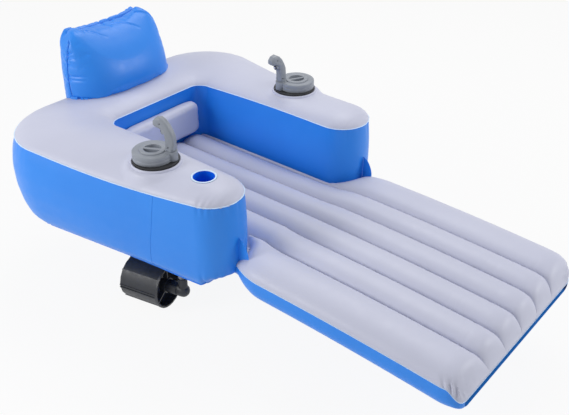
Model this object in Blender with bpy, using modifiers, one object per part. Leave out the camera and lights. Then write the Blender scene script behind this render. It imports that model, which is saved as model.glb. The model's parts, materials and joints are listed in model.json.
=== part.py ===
"""Motorized pool float: a U-shaped inflatable seat with a leg mat and a steered battery drive in each arm.

Metres, +Z up. The origin lies on the plane of the air chamber's underside, midway between the arms,
on the line through the centres of the rounded arm ends. +Y runs towards the backrest, -Y to the feet.
"right" and "left" are a seated person's: the right arm lies at -X and the left arm at +X.
"""
import math

import bmesh
import bpy
from mathutils import Matrix, Vector

TOUCH_GAP = 0.0003
FIT_GAP = 0.0004
MERGE_DISTANCE = 0.00005
CUT_OVERRUN = 0.012
QUARTER = math.pi / 2
TWO_PI = 2 * math.pi

# Segments of turned pieces by size
LARGE_TURN = 26
MEDIUM_TURN = 18
SMALL_TURN = 12
FINE_TURN = 8

# Air chamber and its top sheet, seen from above
ARM_END_X = 0.365
ARM_END_RADIUS = 0.107
BACK_HALF_WIDTH = 0.577
BACK_OUTER_Y = 0.962
BACK_CORNER_RADIUS = 0.235
WELL_BACK_HALF_WIDTH = 0.25
WELL_BACK_Y = 0.668
WELL_CORNER_RADIUS = 0.055

# Air chamber, section
SEAM_Z = 0.334
OUTER_SEAM_SAG = 0.016
INNER_SEAM_RISE = 0.006
CROWN_HEIGHT = 0.046
CROWN_POWER = 0.58
ARM_END_CROWN_POWER = 1.1
SIDE_BULGE = 0.026
ARM_END_BULGE = 0.007
WELL_WALL_BULGE = 0.004
UNDERSIDE_DRAW_IN = 0.03
ARM_END_DRAW_IN = 0.036
WALL_HEIGHT_SHARES = (0.0, 0.08, 0.24, 0.45, 0.68, 0.87, 1.0)
WALL_BULGE_SHARES = (-1.0, -0.15, 0.5, 0.95, 1.0, 0.6, 0.0)
ARM_END_STATIONS = 6
ARM_STATIONS = 5
CORNER_STATIONS = 7
BACK_STATIONS = 2
CROWN_STRIPS = 8

# Leg mat and seat
MAT_SIDE_OVERHANG_SHARE = 0.411
MAT_HALF_WIDTH = ARM_END_X + MAT_SIDE_OVERHANG_SHARE * ARM_END_RADIUS
MAT_FOOT_Y = -0.985
MAT_BOTTOM_Z = 0.012
MAT_SEAM_Z = 0.086
MAT_RIM = 0.0025
MAT_VALLEY_RISE = 0.026
MAT_CHANNEL_CROWN = 0.021
MAT_OUTER_CROWN = 0.034
MAT_CROWN_POWER = 0.62
MAT_DROOP = 0.036
MAT_DROOP_START_Y = -0.0925
MAT_CHANNEL_WIDTH = 0.1215
MAT_CHANNEL_STRIPS = 4
MAT_FOOT_CORNER = 0.075
MAT_FOOT_NARROWING_SHARE = 0.6
MAT_FOOT_ROLL = 0.085
MAT_FOOT_SEAM_SHARE = 0.3
MAT_END_ROLL = 0.055
MAT_SIDE_BULGE = 0.004
MAT_SIDE_DRAW_IN = 0.018
MAT_OVERLAP = 0.012
MAT_FOOT_ROWS = 5
MAT_LEG_ROWS = 5
MAT_SPLIT_Y = -0.2
MAT_SPLIT_ROWS = 6
MAT_SEAT_ROWS = 3
MAT_BACK_ROWS = 3

# Headrest pillow; shares run from its base up
PILLOW_HALF_WIDTH = 0.262
PILLOW_BASE_Z = 0.325
PILLOW_TOP_Z = 0.642
PILLOW_FRONT_Y = 0.742
PILLOW_BACK_Y = 0.957
PILLOW_TOP_SAG = 0.012
PILLOW_HEIGHT_SHARES = (0.0, 0.1, 0.22, 0.38, 0.55, 0.72, 0.86, 0.95, 1.0)
PILLOW_WIDTH_SHARES = (0.80, 0.84, 0.92, 1.0, 1.03, 1.02, 0.96, 0.89, 0.8)
PILLOW_FRONT_SHARES = (0.02, -0.02, -0.03, 0.02, 0.12, 0.27, 0.44, 0.57, 0.67)
PILLOW_BACK_SHARES = (0.95, 1.0, 1.03, 1.04, 1.03, 0.99, 0.91, 0.83, 0.76)
PILLOW_END_POWER = 0.42
PILLOW_POINTS = 24

# Lumbar pad on the well's back wall
LUMBAR_HALF_WIDTH = 0.206
LUMBAR_LOW_Z = 0.137
LUMBAR_HIGH_Z = 0.29
LUMBAR_THICKNESS = 0.046
LUMBAR_OVERLAP = 0.002
LUMBAR_END_POWER = 0.28
LUMBAR_POINTS = 24
LUMBAR_INSET_SHARES = (0.015, 0.0, 0.03, 0.12, 0.28, 0.5)
LUMBAR_DEPTH_SHARES = (0.0, 0.32, 0.62, 0.84, 0.95, 1.0)

# Cup holder, in the right arm only
CUP_SETBACK = 0.141
CUP_Y = CUP_SETBACK - ARM_END_RADIUS
CUP_BORE_RADIUS = 0.037
CUP_WALL = 0.0025
CUP_RIM_RADIUS = 0.0435
CUP_RIM_HEIGHT = 0.012
CUP_RIM_Z = 0.381
CUP_DEPTH = 0.095

# Weld flap at each arm's end
FLAP_MIDDLE_Z = 0.157
FLAP_HALF_HEIGHT = 0.044
FLAP_REACH = 0.047
FLAP_THICKNESS = 0.003
FLAP_POINTS = 10

# Inflation valves
VALVE_FLANGE_RADIUS = 0.019
VALVE_FLANGE_THICKNESS = 0.002
VALVE_STEM_RADIUS = 0.0105
VALVE_STEM_LENGTH = 0.016
VALVE_BORE_RADIUS = 0.0065
VALVE_CAP_RADIUS = 0.009
VALVE_CAP_THICKNESS = 0.0035
VALVE_PLUG_LENGTH = 0.009
VALVE_SINK = 0.004
RING_VALVE_X = 0.16
RING_VALVE_Z = 0.205
PILLOW_VALVE_Z = 0.47
PILLOW_VALVE_Y_SHARE = 1.037
PILLOW_VALVE_TILT = math.radians(-2)
MAT_VALVE_Y = -0.52
MAT_VALVE_Z = 0.045

# Drive unit: port through each arm
DISC_X = 0.392
DISC_Y = 0.248
DISC_SEAT_Z = 0.390
HANDLE_OFFSET = 0.0675
PORT_OFFSET = 0.009
GASKET_RADIUS = 0.082
GASKET_THICKNESS = 0.010
COLLAR_RADIUS = 0.089
COLLAR_HEIGHT = 0.024
PORT_BORE_RADIUS = 0.0765
PORT_WALL = 0.0025

# Drive unit: housing, heights above the disc's seat
DISC_RADIUS = 0.0715
DISC_HEIGHT = 0.031
DISC_EDGE = 0.003
DISC_GROOVE_Z = 0.0145
DISC_GROOVE_DEPTH = 0.0015
LEDGE_RADIUS = 0.0468
LEDGE_Z = 0.024
BAY_RADIUS = 0.0436
FLOOR_THICKNESS = 0.004
NOTCH_RADIUS = 0.0172
HANDLE_COLLAR_WALL = 0.0042
HANDLE_COLLAR_HEIGHT = 0.034

# Drive unit: battery case, carrier, seal and cap
CASE_FLANGE_RADIUS = 0.047
CASE_FLANGE_THICKNESS = 0.004
CASE_RADIUS = 0.0436
CASE_WALL = 0.0026
CASE_DEPTH = 0.138
CELL_RADIUS = 0.0171
CELL_CIRCLE_RADIUS = 0.0205
CARRIER_LENGTH = 0.128
CARRIER_RADIUS = 0.0385
CARRIER_PLATE = 0.003
CARRIER_CORE_RADIUS = 0.011
CAP_RADIUS = 0.0464
CAP_PLATE = 0.008
CAP_SKIRT_RADIUS = 0.0432
CAP_SKIRT_LENGTH = 0.018
CAP_SKIRT_WALL = 0.003
CAP_EDGE = 0.0018
SEAL_THICKNESS = 0.002
SEAL_WIDTH = 0.0024
RECESS_RADIUS = 0.031
RECESS_DEPTH = 0.0105
RECESS_FLOOR = 0.003
GRIP_BAR_WIDTH = 0.011
GRIP_BAR_DROP = 0.001

# Drive unit: steering shaft in its tube
SHAFT_RADIUS = 0.0105
SHAFT_WALL = 0.003
TUBE_RADIUS = 0.015
TUBE_BORE_RADIUS = 0.013
TUBE_FLANGE_RADIUS = 0.0169
TUBE_FLANGE = 0.0015
TUBE_END_Z = -0.113
BUSH_BORE_RADIUS = 0.011
BUSH_LENGTH = 0.014
BUSH_FLANGE = 0.0016
BUSH_FLANGE_RADIUS = 0.0147
TURN_CLEARANCE = 0.0006
SHAFT_SOCKET_DEPTH = 0.032

# Handle: profile as reach towards the beak and height, as shares of its reach and height
HANDLE_HEIGHT = 0.152
HANDLE_REACH = 0.062
HANDLE_THICKNESS = 0.028
HANDLE_BASE_RADIUS = 0.0165
HANDLE_BASE_HEIGHT = 0.048
HANDLE_EDGE = 0.0065
HANDLE_PROFILE_SHARES = (
    (-0.265, 0.265), (-0.28, 0.36), (-0.29, 0.46), (-0.26, 0.60), (-0.15, 0.71), (0.03, 0.84), (0.26, 0.94),
    (0.52, 1.0), (0.80, 0.975), (0.98, 0.89), (0.99, 0.80), (0.84, 0.75), (0.62, 0.735), (0.43, 0.70),
    (0.32, 0.62), (0.28, 0.50), (0.265, 0.37), (0.265, 0.265))
HANDLE_LAYER_SHARES = ((-1.0, 1.0), (-0.88, 0.42), (-0.6, 0.0), (0.6, 0.0), (0.88, 0.42), (1.0, 1.0))
SCREW_HOLE_RADIUS = 0.0028
SCREW_HOLE_DEPTH = 0.004
SCREW_PLACE_SHARES = ((0.50, 0.86), (0.06, 0.32))

# Trigger button below the beak, and its switch
BUTTON_Z = 0.099
BUTTON_RADIUS = 0.007
BUTTON_LENGTH = 0.017
BUTTON_EDGE = 0.0012
BUTTON_PROUD = 0.0045
BUTTON_TRAVEL = 0.003
BUTTON_CLEARANCE = 0.0005
BUTTON_FLANGE_RADIUS = 0.0088
BUTTON_FLANGE = 0.002
BOSS_RADIUS = 0.0105
BOSS_REACH = 0.031
SWITCH_LENGTH = 0.009
SWITCH_HEIGHT = 0.013
SWITCH_WIDTH = 0.009

# Motor pod, measured aft from the steering axis
MOTOR_AXIS_Z = -0.175
POD_RADIUS = 0.0255
POD_TIP_Y = -0.027
POD_JOINT_Y = 0.021
POD_TAPER_Y = 0.092
POD_TAIL_Y = 0.117
POD_TAIL_RADIUS = 0.012
POD_BORE_RADIUS = 0.0188
POD_SPIGOT = 0.006
BOSS_TUBE_RADIUS = 0.0185
MOTOR_RADIUS = 0.0185
MOTOR_LENGTH = 0.057
MOTOR_START_Y = 0.0275
MOTOR_BORE_RADIUS = 0.0033
DRIVE_SHAFT_RADIUS = 0.003
DRIVE_SHAFT_START_Y = 0.0285
SHAFT_HOLE_RADIUS = 0.0034
DOME_SHARES = ((1.0, 0.0), (0.94, 0.28), (0.8, 0.58), (0.6, 0.8), (0.32, 0.95), (0.0, 1.0))

# Propeller and nut
PROP_START_Y = 0.1185
HUB_RADIUS = 0.013
HUB_LENGTH = 0.030
HUB_EDGE = 0.0015
NUT_RADIUS = 0.0105
NUT_LENGTH = 0.017
NUT_BORE = 0.011
BLADE_COUNT = 3
BLADE_ROOT_RADIUS = 0.0105
BLADE_CHORD = 0.046
BLADE_PITCH = 0.115
BLADE_THICKNESS = 0.0044
BLADE_SPAN_SHARES = (0.0, 0.2, 0.42, 0.64, 0.84, 0.95, 1.0)
BLADE_CHORD_SHARES = (0.42, 0.66, 0.88, 1.0, 0.92, 0.7, 0.36)
BLADE_THICKNESS_SHARES = (1.0, 0.86, 0.7, 0.56, 0.44, 0.38, 0.34)
BLADE_SECTION_SHARES = ((-0.5, 0.0), (-0.34, 0.62), (-0.04, 1.0), (0.28, 0.66), (0.5, 0.0), (0.2, -0.25),
                        (-0.3, -0.25))

# Shroud round the propeller
SHROUD_FRONT_Y = 0.063
SHROUD_LENGTH = 0.168
SHROUD_RADIUS = 0.0845
SHROUD_WALL = 0.0035
RIB_HEIGHT = 0.003
RIB_WIDTH = 0.0042
RIB_PAIR_PITCH = 0.011
RIB_GROUPS = 8
ARC_POINTS = 1
LIP_PROUD = 0.0045
LIP_RADIUS = SHROUD_RADIUS + LIP_PROUD
BLADE_TIP_CLEARANCE = 0.005
BLADE_TIP_RADIUS = SHROUD_RADIUS - SHROUD_WALL - BLADE_TIP_CLEARANCE
LIP_LENGTH = 0.006
STRUT_COUNT = 3
STRUT_THICKNESS = 0.005
STRUT_CHORD = 0.02
STRUT_OVERLAP = 0.0015
CLAMP_WALL = 0.004
CLAMP_LENGTH = 0.024
CLAMP_START = 0.003

# Each side: sign of X, direction of the handle from the disc's centre, heading of the drive off straight aft
SIDES = {
    "right": (-1, math.radians(-62), math.radians(12)),
    "left": (1, math.radians(152), math.radians(84)),
}

for old in list(bpy.data.objects):
    bpy.data.objects.remove(old, do_unlink=True)

parts = bpy.data.collections.new("motorized_pool_float")
cutters = bpy.data.collections.new("cutters")
bpy.context.scene.collection.children.link(parts)
bpy.context.scene.collection.children.link(cutters)


def make_material(name, colour, roughness, metallic=0.0):
    material = bpy.data.materials.new(name)
    material.use_nodes = True
    shader = material.node_tree.nodes["Principled BSDF"]
    shader.inputs["Base Color"].default_value = (*colour, 1)
    shader.inputs["Roughness"].default_value = roughness
    shader.inputs["Metallic"].default_value = metallic
    material.diffuse_color = (*colour, 1)
    return material


blue_vinyl = make_material("blue_vinyl", (0.045, 0.235, 0.80), 0.42)
pearl_vinyl = make_material("pearl_vinyl", (0.62, 0.63, 0.74), 0.5)
grey_plastic = make_material("grey_plastic", (0.39, 0.42, 0.46), 0.4)
black_plastic = make_material("black_plastic", (0.012, 0.014, 0.022), 0.35)
black_rubber = make_material("black_rubber", (0.008, 0.008, 0.010), 0.7)
clear_vinyl = make_material("clear_vinyl", (0.70, 0.74, 0.82), 0.25)
steel = make_material("steel", (0.55, 0.56, 0.58), 0.3, 1.0)
brass = make_material("brass", (0.72, 0.52, 0.22), 0.35, 1.0)
cell_wrap = make_material("cell_wrap", (0.05, 0.05, 0.055), 0.45)


def place(obj, material, parent=None):
    """Put an object in the parts' collection, or in the cutters' one if it has no material."""
    (cutters if material is None else parts).objects.link(obj)
    obj.parent = parent
    if material is None:
        obj.hide_render = True
        obj.display_type = "WIRE"
    else:
        obj.data.materials.append(material)
        obj.data.shade_smooth()
    return obj


def finish_mesh(name, builder, material=None, parent=None):
    mesh = bpy.data.meshes.new(name)
    builder.to_mesh(mesh)
    builder.free()
    return place(bpy.data.objects.new(name, mesh), material, parent)


def axis_empty(name, location, turn=(0, 0, 0), parent=None):
    empty = bpy.data.objects.new(name, None)
    parts.objects.link(empty)
    empty.location = location
    empty.rotation_euler = turn
    empty.parent = parent
    return empty


def turned(name, profile, material=None, parent=None, segments=MEDIUM_TURN):
    """A profile of (radius, height) points spun about Z; one that starts off the axis is closed to a loop."""
    mesh = bpy.data.meshes.new(name)
    edges = [(i, i + 1) for i in range(len(profile) - 1)]
    if min(radius for radius, _ in profile) > 0:
        edges.append((len(profile) - 1, 0))
    mesh.from_pydata([(radius, 0, height) for radius, height in profile], edges, [])
    obj = place(bpy.data.objects.new(name, mesh), material, parent)
    screw = obj.modifiers.new("turn", "SCREW")
    screw.steps = segments
    screw.render_steps = segments
    screw.use_merge_vertices = True
    screw.merge_threshold = MERGE_DISTANCE
    return obj


def tube(name, bore, radius, low, high, material=None, parent=None, segments=MEDIUM_TURN):
    return turned(name, [(bore, high), (radius, high), (radius, low), (bore, low)], material, parent, segments)


def rod(name, radius, low, high, material=None, parent=None, segments=MEDIUM_TURN, centre=(0, 0)):
    obj = turned(name, [(0, high), (radius, high), (radius, low), (0, low)], material, parent, segments)
    obj.location = (centre[0], centre[1], 0)
    return obj


def block(name, low, high, material=None, parent=None, turn=0):
    """A box between two corners, turned about Z."""
    builder = bmesh.new()
    size = Vector(high) - Vector(low)
    middle = (Vector(high) + Vector(low)) / 2
    spin = Matrix.Rotation(turn, 4, "Z")
    bmesh.ops.create_cube(builder, size=1,
                          matrix=spin @ Matrix.Translation(middle) @ Matrix.Diagonal((*size, 1)))
    return finish_mesh(name, builder, material, parent)


def combine(obj, tool, operation="DIFFERENCE"):
    boolean = obj.modifiers.new(tool.name, "BOOLEAN")
    boolean.operation = operation
    boolean.object = tool
    boolean.solver = "EXACT"
    return obj


def cut(obj, *tools):
    for tool in tools:
        combine(obj, tool)
    return obj


def join(obj, *tools):
    for tool in tools:
        combine(obj, tool, "UNION")
    return obj


def loft(name, rings, material=None, parent=None, wrap=False):
    """Join rings of equally many points with triangles; the ends are capped, or joined to each other."""
    builder = bmesh.new()
    rows = [[builder.verts.new(point) for point in ring] for ring in rings]
    pairs = list(zip(rows, rows[1:]))
    if wrap:
        pairs.append((rows[-1], rows[0]))
    for low, high in pairs:
        for i in range(len(low)):
            j = (i + 1) % len(low)
            builder.faces.new((low[i], low[j], high[j]))
            builder.faces.new((low[i], high[j], high[i]))
    if not wrap:
        builder.faces.new(list(reversed(rows[0])))
        builder.faces.new(rows[-1])
    bmesh.ops.remove_doubles(builder, verts=builder.verts, dist=MERGE_DISTANCE)
    bmesh.ops.dissolve_degenerate(builder, edges=builder.edges, dist=MERGE_DISTANCE)
    bmesh.ops.recalc_face_normals(builder, faces=builder.faces)
    return finish_mesh(name, builder, material, parent)


def blend(low, high, share):
    return low + (high - low) * share


def ease(share):
    share = min(1, max(0, share))
    return share * share * (3 - 2 * share)


def unit_vector(angle):
    return Vector((math.cos(angle), math.sin(angle)))


def smooth_loop(points, steps):
    """Points on a closed curve through the given points."""
    result = []
    count = len(points)
    for i in range(count):
        a, b, c, d = (Vector(points[(i + k) % count]) for k in (-1, 0, 1, 2))
        for step in range(steps):
            t = step / steps
            result.append(0.5 * (2 * b + (c - a) * t + (2 * a - 5 * b + 4 * c - d) * t * t
                                 + (3 * b - a - 3 * c + d) * t * t * t))
    return result


def inset_loop(points, distance):
    """A counter-clockwise loop moved inwards by a distance."""
    moved = []
    for i, point in enumerate(points):
        along = (points[(i + 1) % len(points)] - points[i - 1]).normalized()
        moved.append(point + distance * Vector((-along.y, along.x)))
    return moved


def oval(half_x, half_y, power, count):
    """A rounded oblong; a smaller power squares its corners."""
    points = []
    for i in range(count):
        angle = TWO_PI * (i + 0.5) / count
        c, s = math.cos(angle), math.sin(angle)
        points.append((half_x * math.copysign(abs(c) ** power, c), half_y * math.copysign(abs(s) ** power, s)))
    return points


ARM_END = Vector((ARM_END_X, 0))
BACK_CORNER = Vector((BACK_HALF_WIDTH - BACK_CORNER_RADIUS, BACK_OUTER_Y - BACK_CORNER_RADIUS))
WELL_CORNER = Vector((WELL_BACK_HALF_WIDTH - WELL_CORNER_RADIUS, WELL_BACK_Y - WELL_CORNER_RADIUS))


def tangent_normal(centre_a, radius_a, centre_b, radius_b, side):
    """Angle of the normal of the line touching two circles; the line crosses over for a negative radius."""
    delta = centre_b - centre_a
    return math.atan2(delta.y, delta.x) + side * math.acos((radius_a - radius_b) / delta.length)


OUTER_NORMAL = tangent_normal(ARM_END, ARM_END_RADIUS, BACK_CORNER, BACK_CORNER_RADIUS, -1)
INNER_NORMAL = tangent_normal(ARM_END, ARM_END_RADIUS, WELL_CORNER, -WELL_CORNER_RADIUS, 1)


def chamber_stations():
    """Stations from the left arm's end to the middle of the back.

    Each holds the outer point and its normal, the inner point and its normal, the crown's share
    and a share that grows from the arm's end to the back.
    """
    stations = []
    for i in range(ARM_END_STATIONS + 1):
        share = math.sin(QUARTER * i / ARM_END_STATIONS)
        outer = unit_vector(blend(-QUARTER, OUTER_NORMAL, share))
        inner = unit_vector(blend(-QUARTER, INNER_NORMAL - TWO_PI, share))
        crown = ((outer - inner).length / 2) ** ARM_END_CROWN_POWER
        stations.append((ARM_END + ARM_END_RADIUS * outer, outer, ARM_END + ARM_END_RADIUS * inner, inner, crown, 0))
    outer, inner = unit_vector(OUTER_NORMAL), unit_vector(INNER_NORMAL)
    for i in range(1, ARM_STATIONS + 1):
        share = i / ARM_STATIONS
        stations.append((
            (ARM_END + ARM_END_RADIUS * outer).lerp(BACK_CORNER + BACK_CORNER_RADIUS * outer, share), outer,
            (ARM_END + ARM_END_RADIUS * inner).lerp(WELL_CORNER - WELL_CORNER_RADIUS * inner, share), inner,
            1, share))
    for i in range(1, CORNER_STATIONS + 1):
        share = i / CORNER_STATIONS
        outer = unit_vector(blend(OUTER_NORMAL, QUARTER, share))
        inner = unit_vector(blend(INNER_NORMAL - math.pi, QUARTER, share))
        stations.append((BACK_CORNER + BACK_CORNER_RADIUS * outer, outer,
                         WELL_CORNER + WELL_CORNER_RADIUS * inner, -inner, 1, 1))
    for i in range(1, BACK_STATIONS + 1):
        keep = 1 - i / BACK_STATIONS
        stations.append((Vector((BACK_CORNER.x * keep, BACK_OUTER_Y)), unit_vector(QUARTER),
                         Vector((WELL_CORNER.x * keep, WELL_BACK_Y)), unit_vector(-QUARTER), 1, 1))
    return stations


def outer_seam(station):
    return SEAM_Z - OUTER_SEAM_SAG * math.sin(math.pi * station[5])


def inner_seam(station):
    return SEAM_Z + INNER_SEAM_RISE * math.sin(math.pi * station[5])


def wall_points(point, normal, seam, bulge, draw_in, grow):
    """A wall's points from the underside up to its seam."""
    points = []
    for height, share in zip(WALL_HEIGHT_SHARES, WALL_BULGE_SHARES):
        out = point + normal * (grow + (draw_in * share if share < 0 else bulge * share))
        points.append((out.x, out.y, seam * height))
    return points


def chamber_section(station, grow=0):
    """Closed section of the air chamber; grow moves both walls outwards."""
    outer, outer_n, inner, inner_n, _, arm = station
    draw_in = blend(ARM_END_DRAW_IN, UNDERSIDE_DRAW_IN, arm)
    outer_bulge = blend(ARM_END_BULGE, SIDE_BULGE, ease(arm))
    inner_bulge = blend(ARM_END_BULGE, 0, ease(arm)) + WELL_WALL_BULGE * math.sin(math.pi * arm)
    return (wall_points(outer, outer_n, outer_seam(station), outer_bulge, draw_in, grow)
            + wall_points(inner, inner_n, inner_seam(station), inner_bulge, draw_in, grow)[::-1])


def sheet_section(station, lift=0):
    """Section of the top sheet from its inner to its outer seam, flat below."""
    points = []
    for i in range(CROWN_STRIPS + 1):
        share = (1 + math.cos(math.pi * i / CROWN_STRIPS)) / 2
        flat = station[0].lerp(station[2], share)
        across = 2 * share - 1
        rise = CROWN_HEIGHT * station[4] * max(0, 1 - across * across) ** CROWN_POWER
        seam = blend(outer_seam(station), inner_seam(station), share)
        points.append((flat.x, flat.y, seam + TOUCH_GAP + rise + lift))
    return points


def pillow_cutter_section(station):
    """The top sheet's section raised to a fit, with a deep underside."""
    points = sheet_section(station, FIT_GAP)
    low = PILLOW_BASE_Z - CUT_OVERRUN
    return [(*points[0][:2], low)] + points + [(*points[-1][:2], low)]


def whole_u(name, section, material):
    """Loft round the U: the left arm's stations and their mirror images."""
    half = [section(station) for station in chamber_stations()]
    other = [[(-x, y, z) for x, y, z in ring] for ring in reversed(half[:-1])]
    return loft(name, half + other, material)


def disc_centre(side):
    return Vector((SIDES[side][0] * DISC_X, DISC_Y))


def port_centre(side):
    return disc_centre(side) + PORT_OFFSET * unit_vector(SIDES[side][1])


def handle_axis(side):
    return disc_centre(side) + HANDLE_OFFSET * unit_vector(SIDES[side][1])


COLLAR_TOP_Z = DISC_SEAT_Z - GASKET_THICKNESS - 2 * TOUCH_GAP
COLLAR_LOW_Z = COLLAR_TOP_Z - COLLAR_HEIGHT


def port_cutter(side):
    """Bore through an arm with a wider seat for the collar."""
    bore = PORT_BORE_RADIUS + PORT_WALL + TOUCH_GAP
    seat = COLLAR_RADIUS + TOUCH_GAP
    high = COLLAR_TOP_Z + COLLAR_HEIGHT
    low = COLLAR_LOW_Z - TOUCH_GAP
    cutter = turned(side + "_port_cutter", [(0, high), (seat, high), (seat, low), (bore, low),
                                            (bore, -CUT_OVERRUN), (0, -CUT_OVERRUN)], segments=LARGE_TURN)
    cutter.location = (*port_centre(side), 0)
    return cutter


def build_cup():
    """The cup holder's liner; gives back the cutter of its pocket."""
    wall = CUP_BORE_RADIUS + CUP_WALL
    floor = CUP_RIM_Z - CUP_DEPTH
    ledge = CUP_RIM_Z - CUP_RIM_HEIGHT
    cup = turned("cup_holder", [
        (0, floor), (CUP_BORE_RADIUS, floor), (CUP_BORE_RADIUS, CUP_RIM_Z), (CUP_RIM_RADIUS, CUP_RIM_Z),
        (CUP_RIM_RADIUS, ledge), (wall, ledge), (wall, floor - CUP_WALL), (0, floor - CUP_WALL)],
        blue_vinyl, segments=LARGE_TURN)
    cup.location = (-ARM_END_X, CUP_Y, 0)
    high = CUP_RIM_Z + CUT_OVERRUN
    rim, bore = CUP_RIM_RADIUS + TOUCH_GAP, wall + TOUCH_GAP
    pocket = turned("cup_cutter", [
        (0, high), (rim, high), (rim, ledge - TOUCH_GAP), (bore, ledge - TOUCH_GAP),
        (bore, floor - CUP_WALL - TOUCH_GAP), (0, floor - CUP_WALL - TOUCH_GAP)], segments=LARGE_TURN)
    pocket.location = (-ARM_END_X, CUP_Y, 0)
    return pocket


def build_valve(name, location, turn):
    """A valve stem sunk in a wall and its pull-out cap; local +Z points out. Gives back the pocket's cutter."""
    axis = axis_empty(name + "_axis", location, turn)
    face = VALVE_FLANGE_THICKNESS
    turned(name, [(VALVE_BORE_RADIUS, face), (VALVE_FLANGE_RADIUS, face), (VALVE_FLANGE_RADIUS, 0),
                  (VALVE_STEM_RADIUS, 0), (VALVE_STEM_RADIUS, -VALVE_STEM_LENGTH),
                  (VALVE_BORE_RADIUS, -VALVE_STEM_LENGTH)], clear_vinyl, axis, SMALL_TURN)
    plug = VALVE_BORE_RADIUS - TOUCH_GAP
    low = face + TOUCH_GAP
    turned(name + "_cap", [(0, low + VALVE_CAP_THICKNESS), (VALVE_CAP_RADIUS, low + VALVE_CAP_THICKNESS),
                           (VALVE_CAP_RADIUS, low), (plug, low), (plug, low - VALVE_PLUG_LENGTH),
                           (0, low - VALVE_PLUG_LENGTH)], clear_vinyl, axis, SMALL_TURN)
    flange, stem = VALVE_FLANGE_RADIUS + TOUCH_GAP, VALVE_STEM_RADIUS + TOUCH_GAP
    return turned(name + "_cutter", [
        (0, CUT_OVERRUN), (flange, CUT_OVERRUN), (flange, -TOUCH_GAP), (stem, -TOUCH_GAP),
        (stem, -VALVE_STEM_LENGTH - TOUCH_GAP), (0, -VALVE_STEM_LENGTH - TOUCH_GAP)], None, axis, SMALL_TURN)


def build_ring():
    chamber = whole_u("ring_chamber", chamber_section, blue_vinyl)
    sheet = whole_u("ring_top_panel", sheet_section, pearl_vinyl)
    pockets = [port_cutter(side) for side in SIDES] + [build_cup()]
    cut(chamber, *pockets)
    cut(sheet, *pockets)
    wall_y = BACK_OUTER_Y + SIDE_BULGE - VALVE_SINK
    cut(chamber, build_valve("ring_valve", (RING_VALVE_X, wall_y, RING_VALVE_Z), (-QUARTER, 0, 0)))


def mat_drop(y):
    run = MAT_DROOP_START_Y - MAT_FOOT_Y
    return MAT_DROOP * (max(0, MAT_DROOP_START_Y - y) / run) ** 2


def mat_seam(y):
    """Height of the mat's side seam, which runs down to near the underside at the foot."""
    high, low = MAT_SEAM_Z - mat_drop(y), MAT_BOTTOM_Z - mat_drop(y)
    fall = ease(1 - (y - MAT_FOOT_Y) / (2 * MAT_FOOT_ROLL))
    return blend(high, blend(low, high, MAT_FOOT_SEAM_SHARE), fall)


def mat_half_width(y):
    inside = MAT_FOOT_CORNER - (y - MAT_FOOT_Y)
    if inside <= 0:
        return MAT_HALF_WIDTH
    lost = MAT_FOOT_CORNER - math.sqrt(MAT_FOOT_CORNER ** 2 - inside ** 2)
    return MAT_HALF_WIDTH - MAT_FOOT_NARROWING_SHARE * lost


def roll_share(distance, length):
    """Fullness of a rounded end at a distance from it."""
    share = min(1, max(0, distance / length))
    return math.sqrt(1 - (1 - share) ** 2)


def mat_back_end(x):
    """Where a channel at x ends: at the well's back wall, or at the rounded arm end."""
    if abs(x) < ARM_END_X - ARM_END_RADIUS:
        return WELL_BACK_Y
    return -math.sqrt(max(0, ARM_END_RADIUS ** 2 - (abs(x) - ARM_END_X) ** 2))


def mat_valley(index, y):
    """Height of a valley above the side seam; the outermost ones sink beside the arms."""
    if index < 2:
        return MAT_VALLEY_RISE
    return MAT_VALLEY_RISE * ease(y / MAT_SPLIT_Y) if index == 2 else 0


def mat_columns():
    """Channel and share across it, over half the mat from the middle out."""
    columns = []
    for channel in range(3):
        for strip in range(MAT_CHANNEL_STRIPS):
            columns.append((channel, (1 - math.cos(math.pi * strip / MAT_CHANNEL_STRIPS)) / 2))
    return columns + [(3, 0)]


def mat_rows():
    roll_y = MAT_FOOT_Y + MAT_FOOT_ROLL
    rows = [MAT_FOOT_Y + MAT_FOOT_ROLL * (1 - math.cos(QUARTER * i / MAT_FOOT_ROWS)) for i in range(MAT_FOOT_ROWS)]
    rows += [blend(roll_y, MAT_SPLIT_Y, i / MAT_LEG_ROWS) for i in range(MAT_LEG_ROWS)]
    rows += [blend(MAT_SPLIT_Y, 0, i / MAT_SPLIT_ROWS) for i in range(MAT_SPLIT_ROWS)]
    roll_back = WELL_BACK_Y - MAT_END_ROLL
    rows += [blend(0, roll_back, i / MAT_SEAT_ROWS) for i in range(MAT_SEAT_ROWS)]
    rows += [roll_back + MAT_END_ROLL * math.sin(QUARTER * i / MAT_BACK_ROWS) for i in range(MAT_BACK_ROWS + 1)]
    return rows + [WELL_BACK_Y + MAT_OVERLAP]


def mat_top_section(y):
    """One crosswise section of the mat's quilted top, from the left seam to the right one."""
    half = mat_half_width(y)
    bounds = [0, MAT_CHANNEL_WIDTH, 2 * MAT_CHANNEL_WIDTH, MAT_HALF_WIDTH, MAT_HALF_WIDTH]
    seam = mat_seam(y)
    flat = MAT_SEAM_Z - mat_drop(y)
    side = []
    for channel, share in mat_columns():
        x = blend(bounds[channel], bounds[channel + 1], share)
        across = 2 * share - 1
        crown = MAT_OUTER_CROWN if channel == 2 else MAT_CHANNEL_CROWN
        rise = (blend(mat_valley(channel, y), mat_valley(channel + 1, y), share)
                + crown * max(0, 1 - across * across) ** MAT_CROWN_POWER)
        full = roll_share(mat_back_end(x) - y, MAT_END_ROLL) * roll_share(y - MAT_FOOT_Y, MAT_FOOT_ROLL)
        side.append((x * half / MAT_HALF_WIDTH, blend(seam, flat + rise, full) + MAT_RIM))
    seam_x = side[-1][0]
    left = [(-x, y, z) for x, z in reversed(side[1:])]
    right = [(x, y, z) for x, z in side]
    return [(-seam_x, y, seam)] + left + right + [(seam_x, y, seam)]


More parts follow.
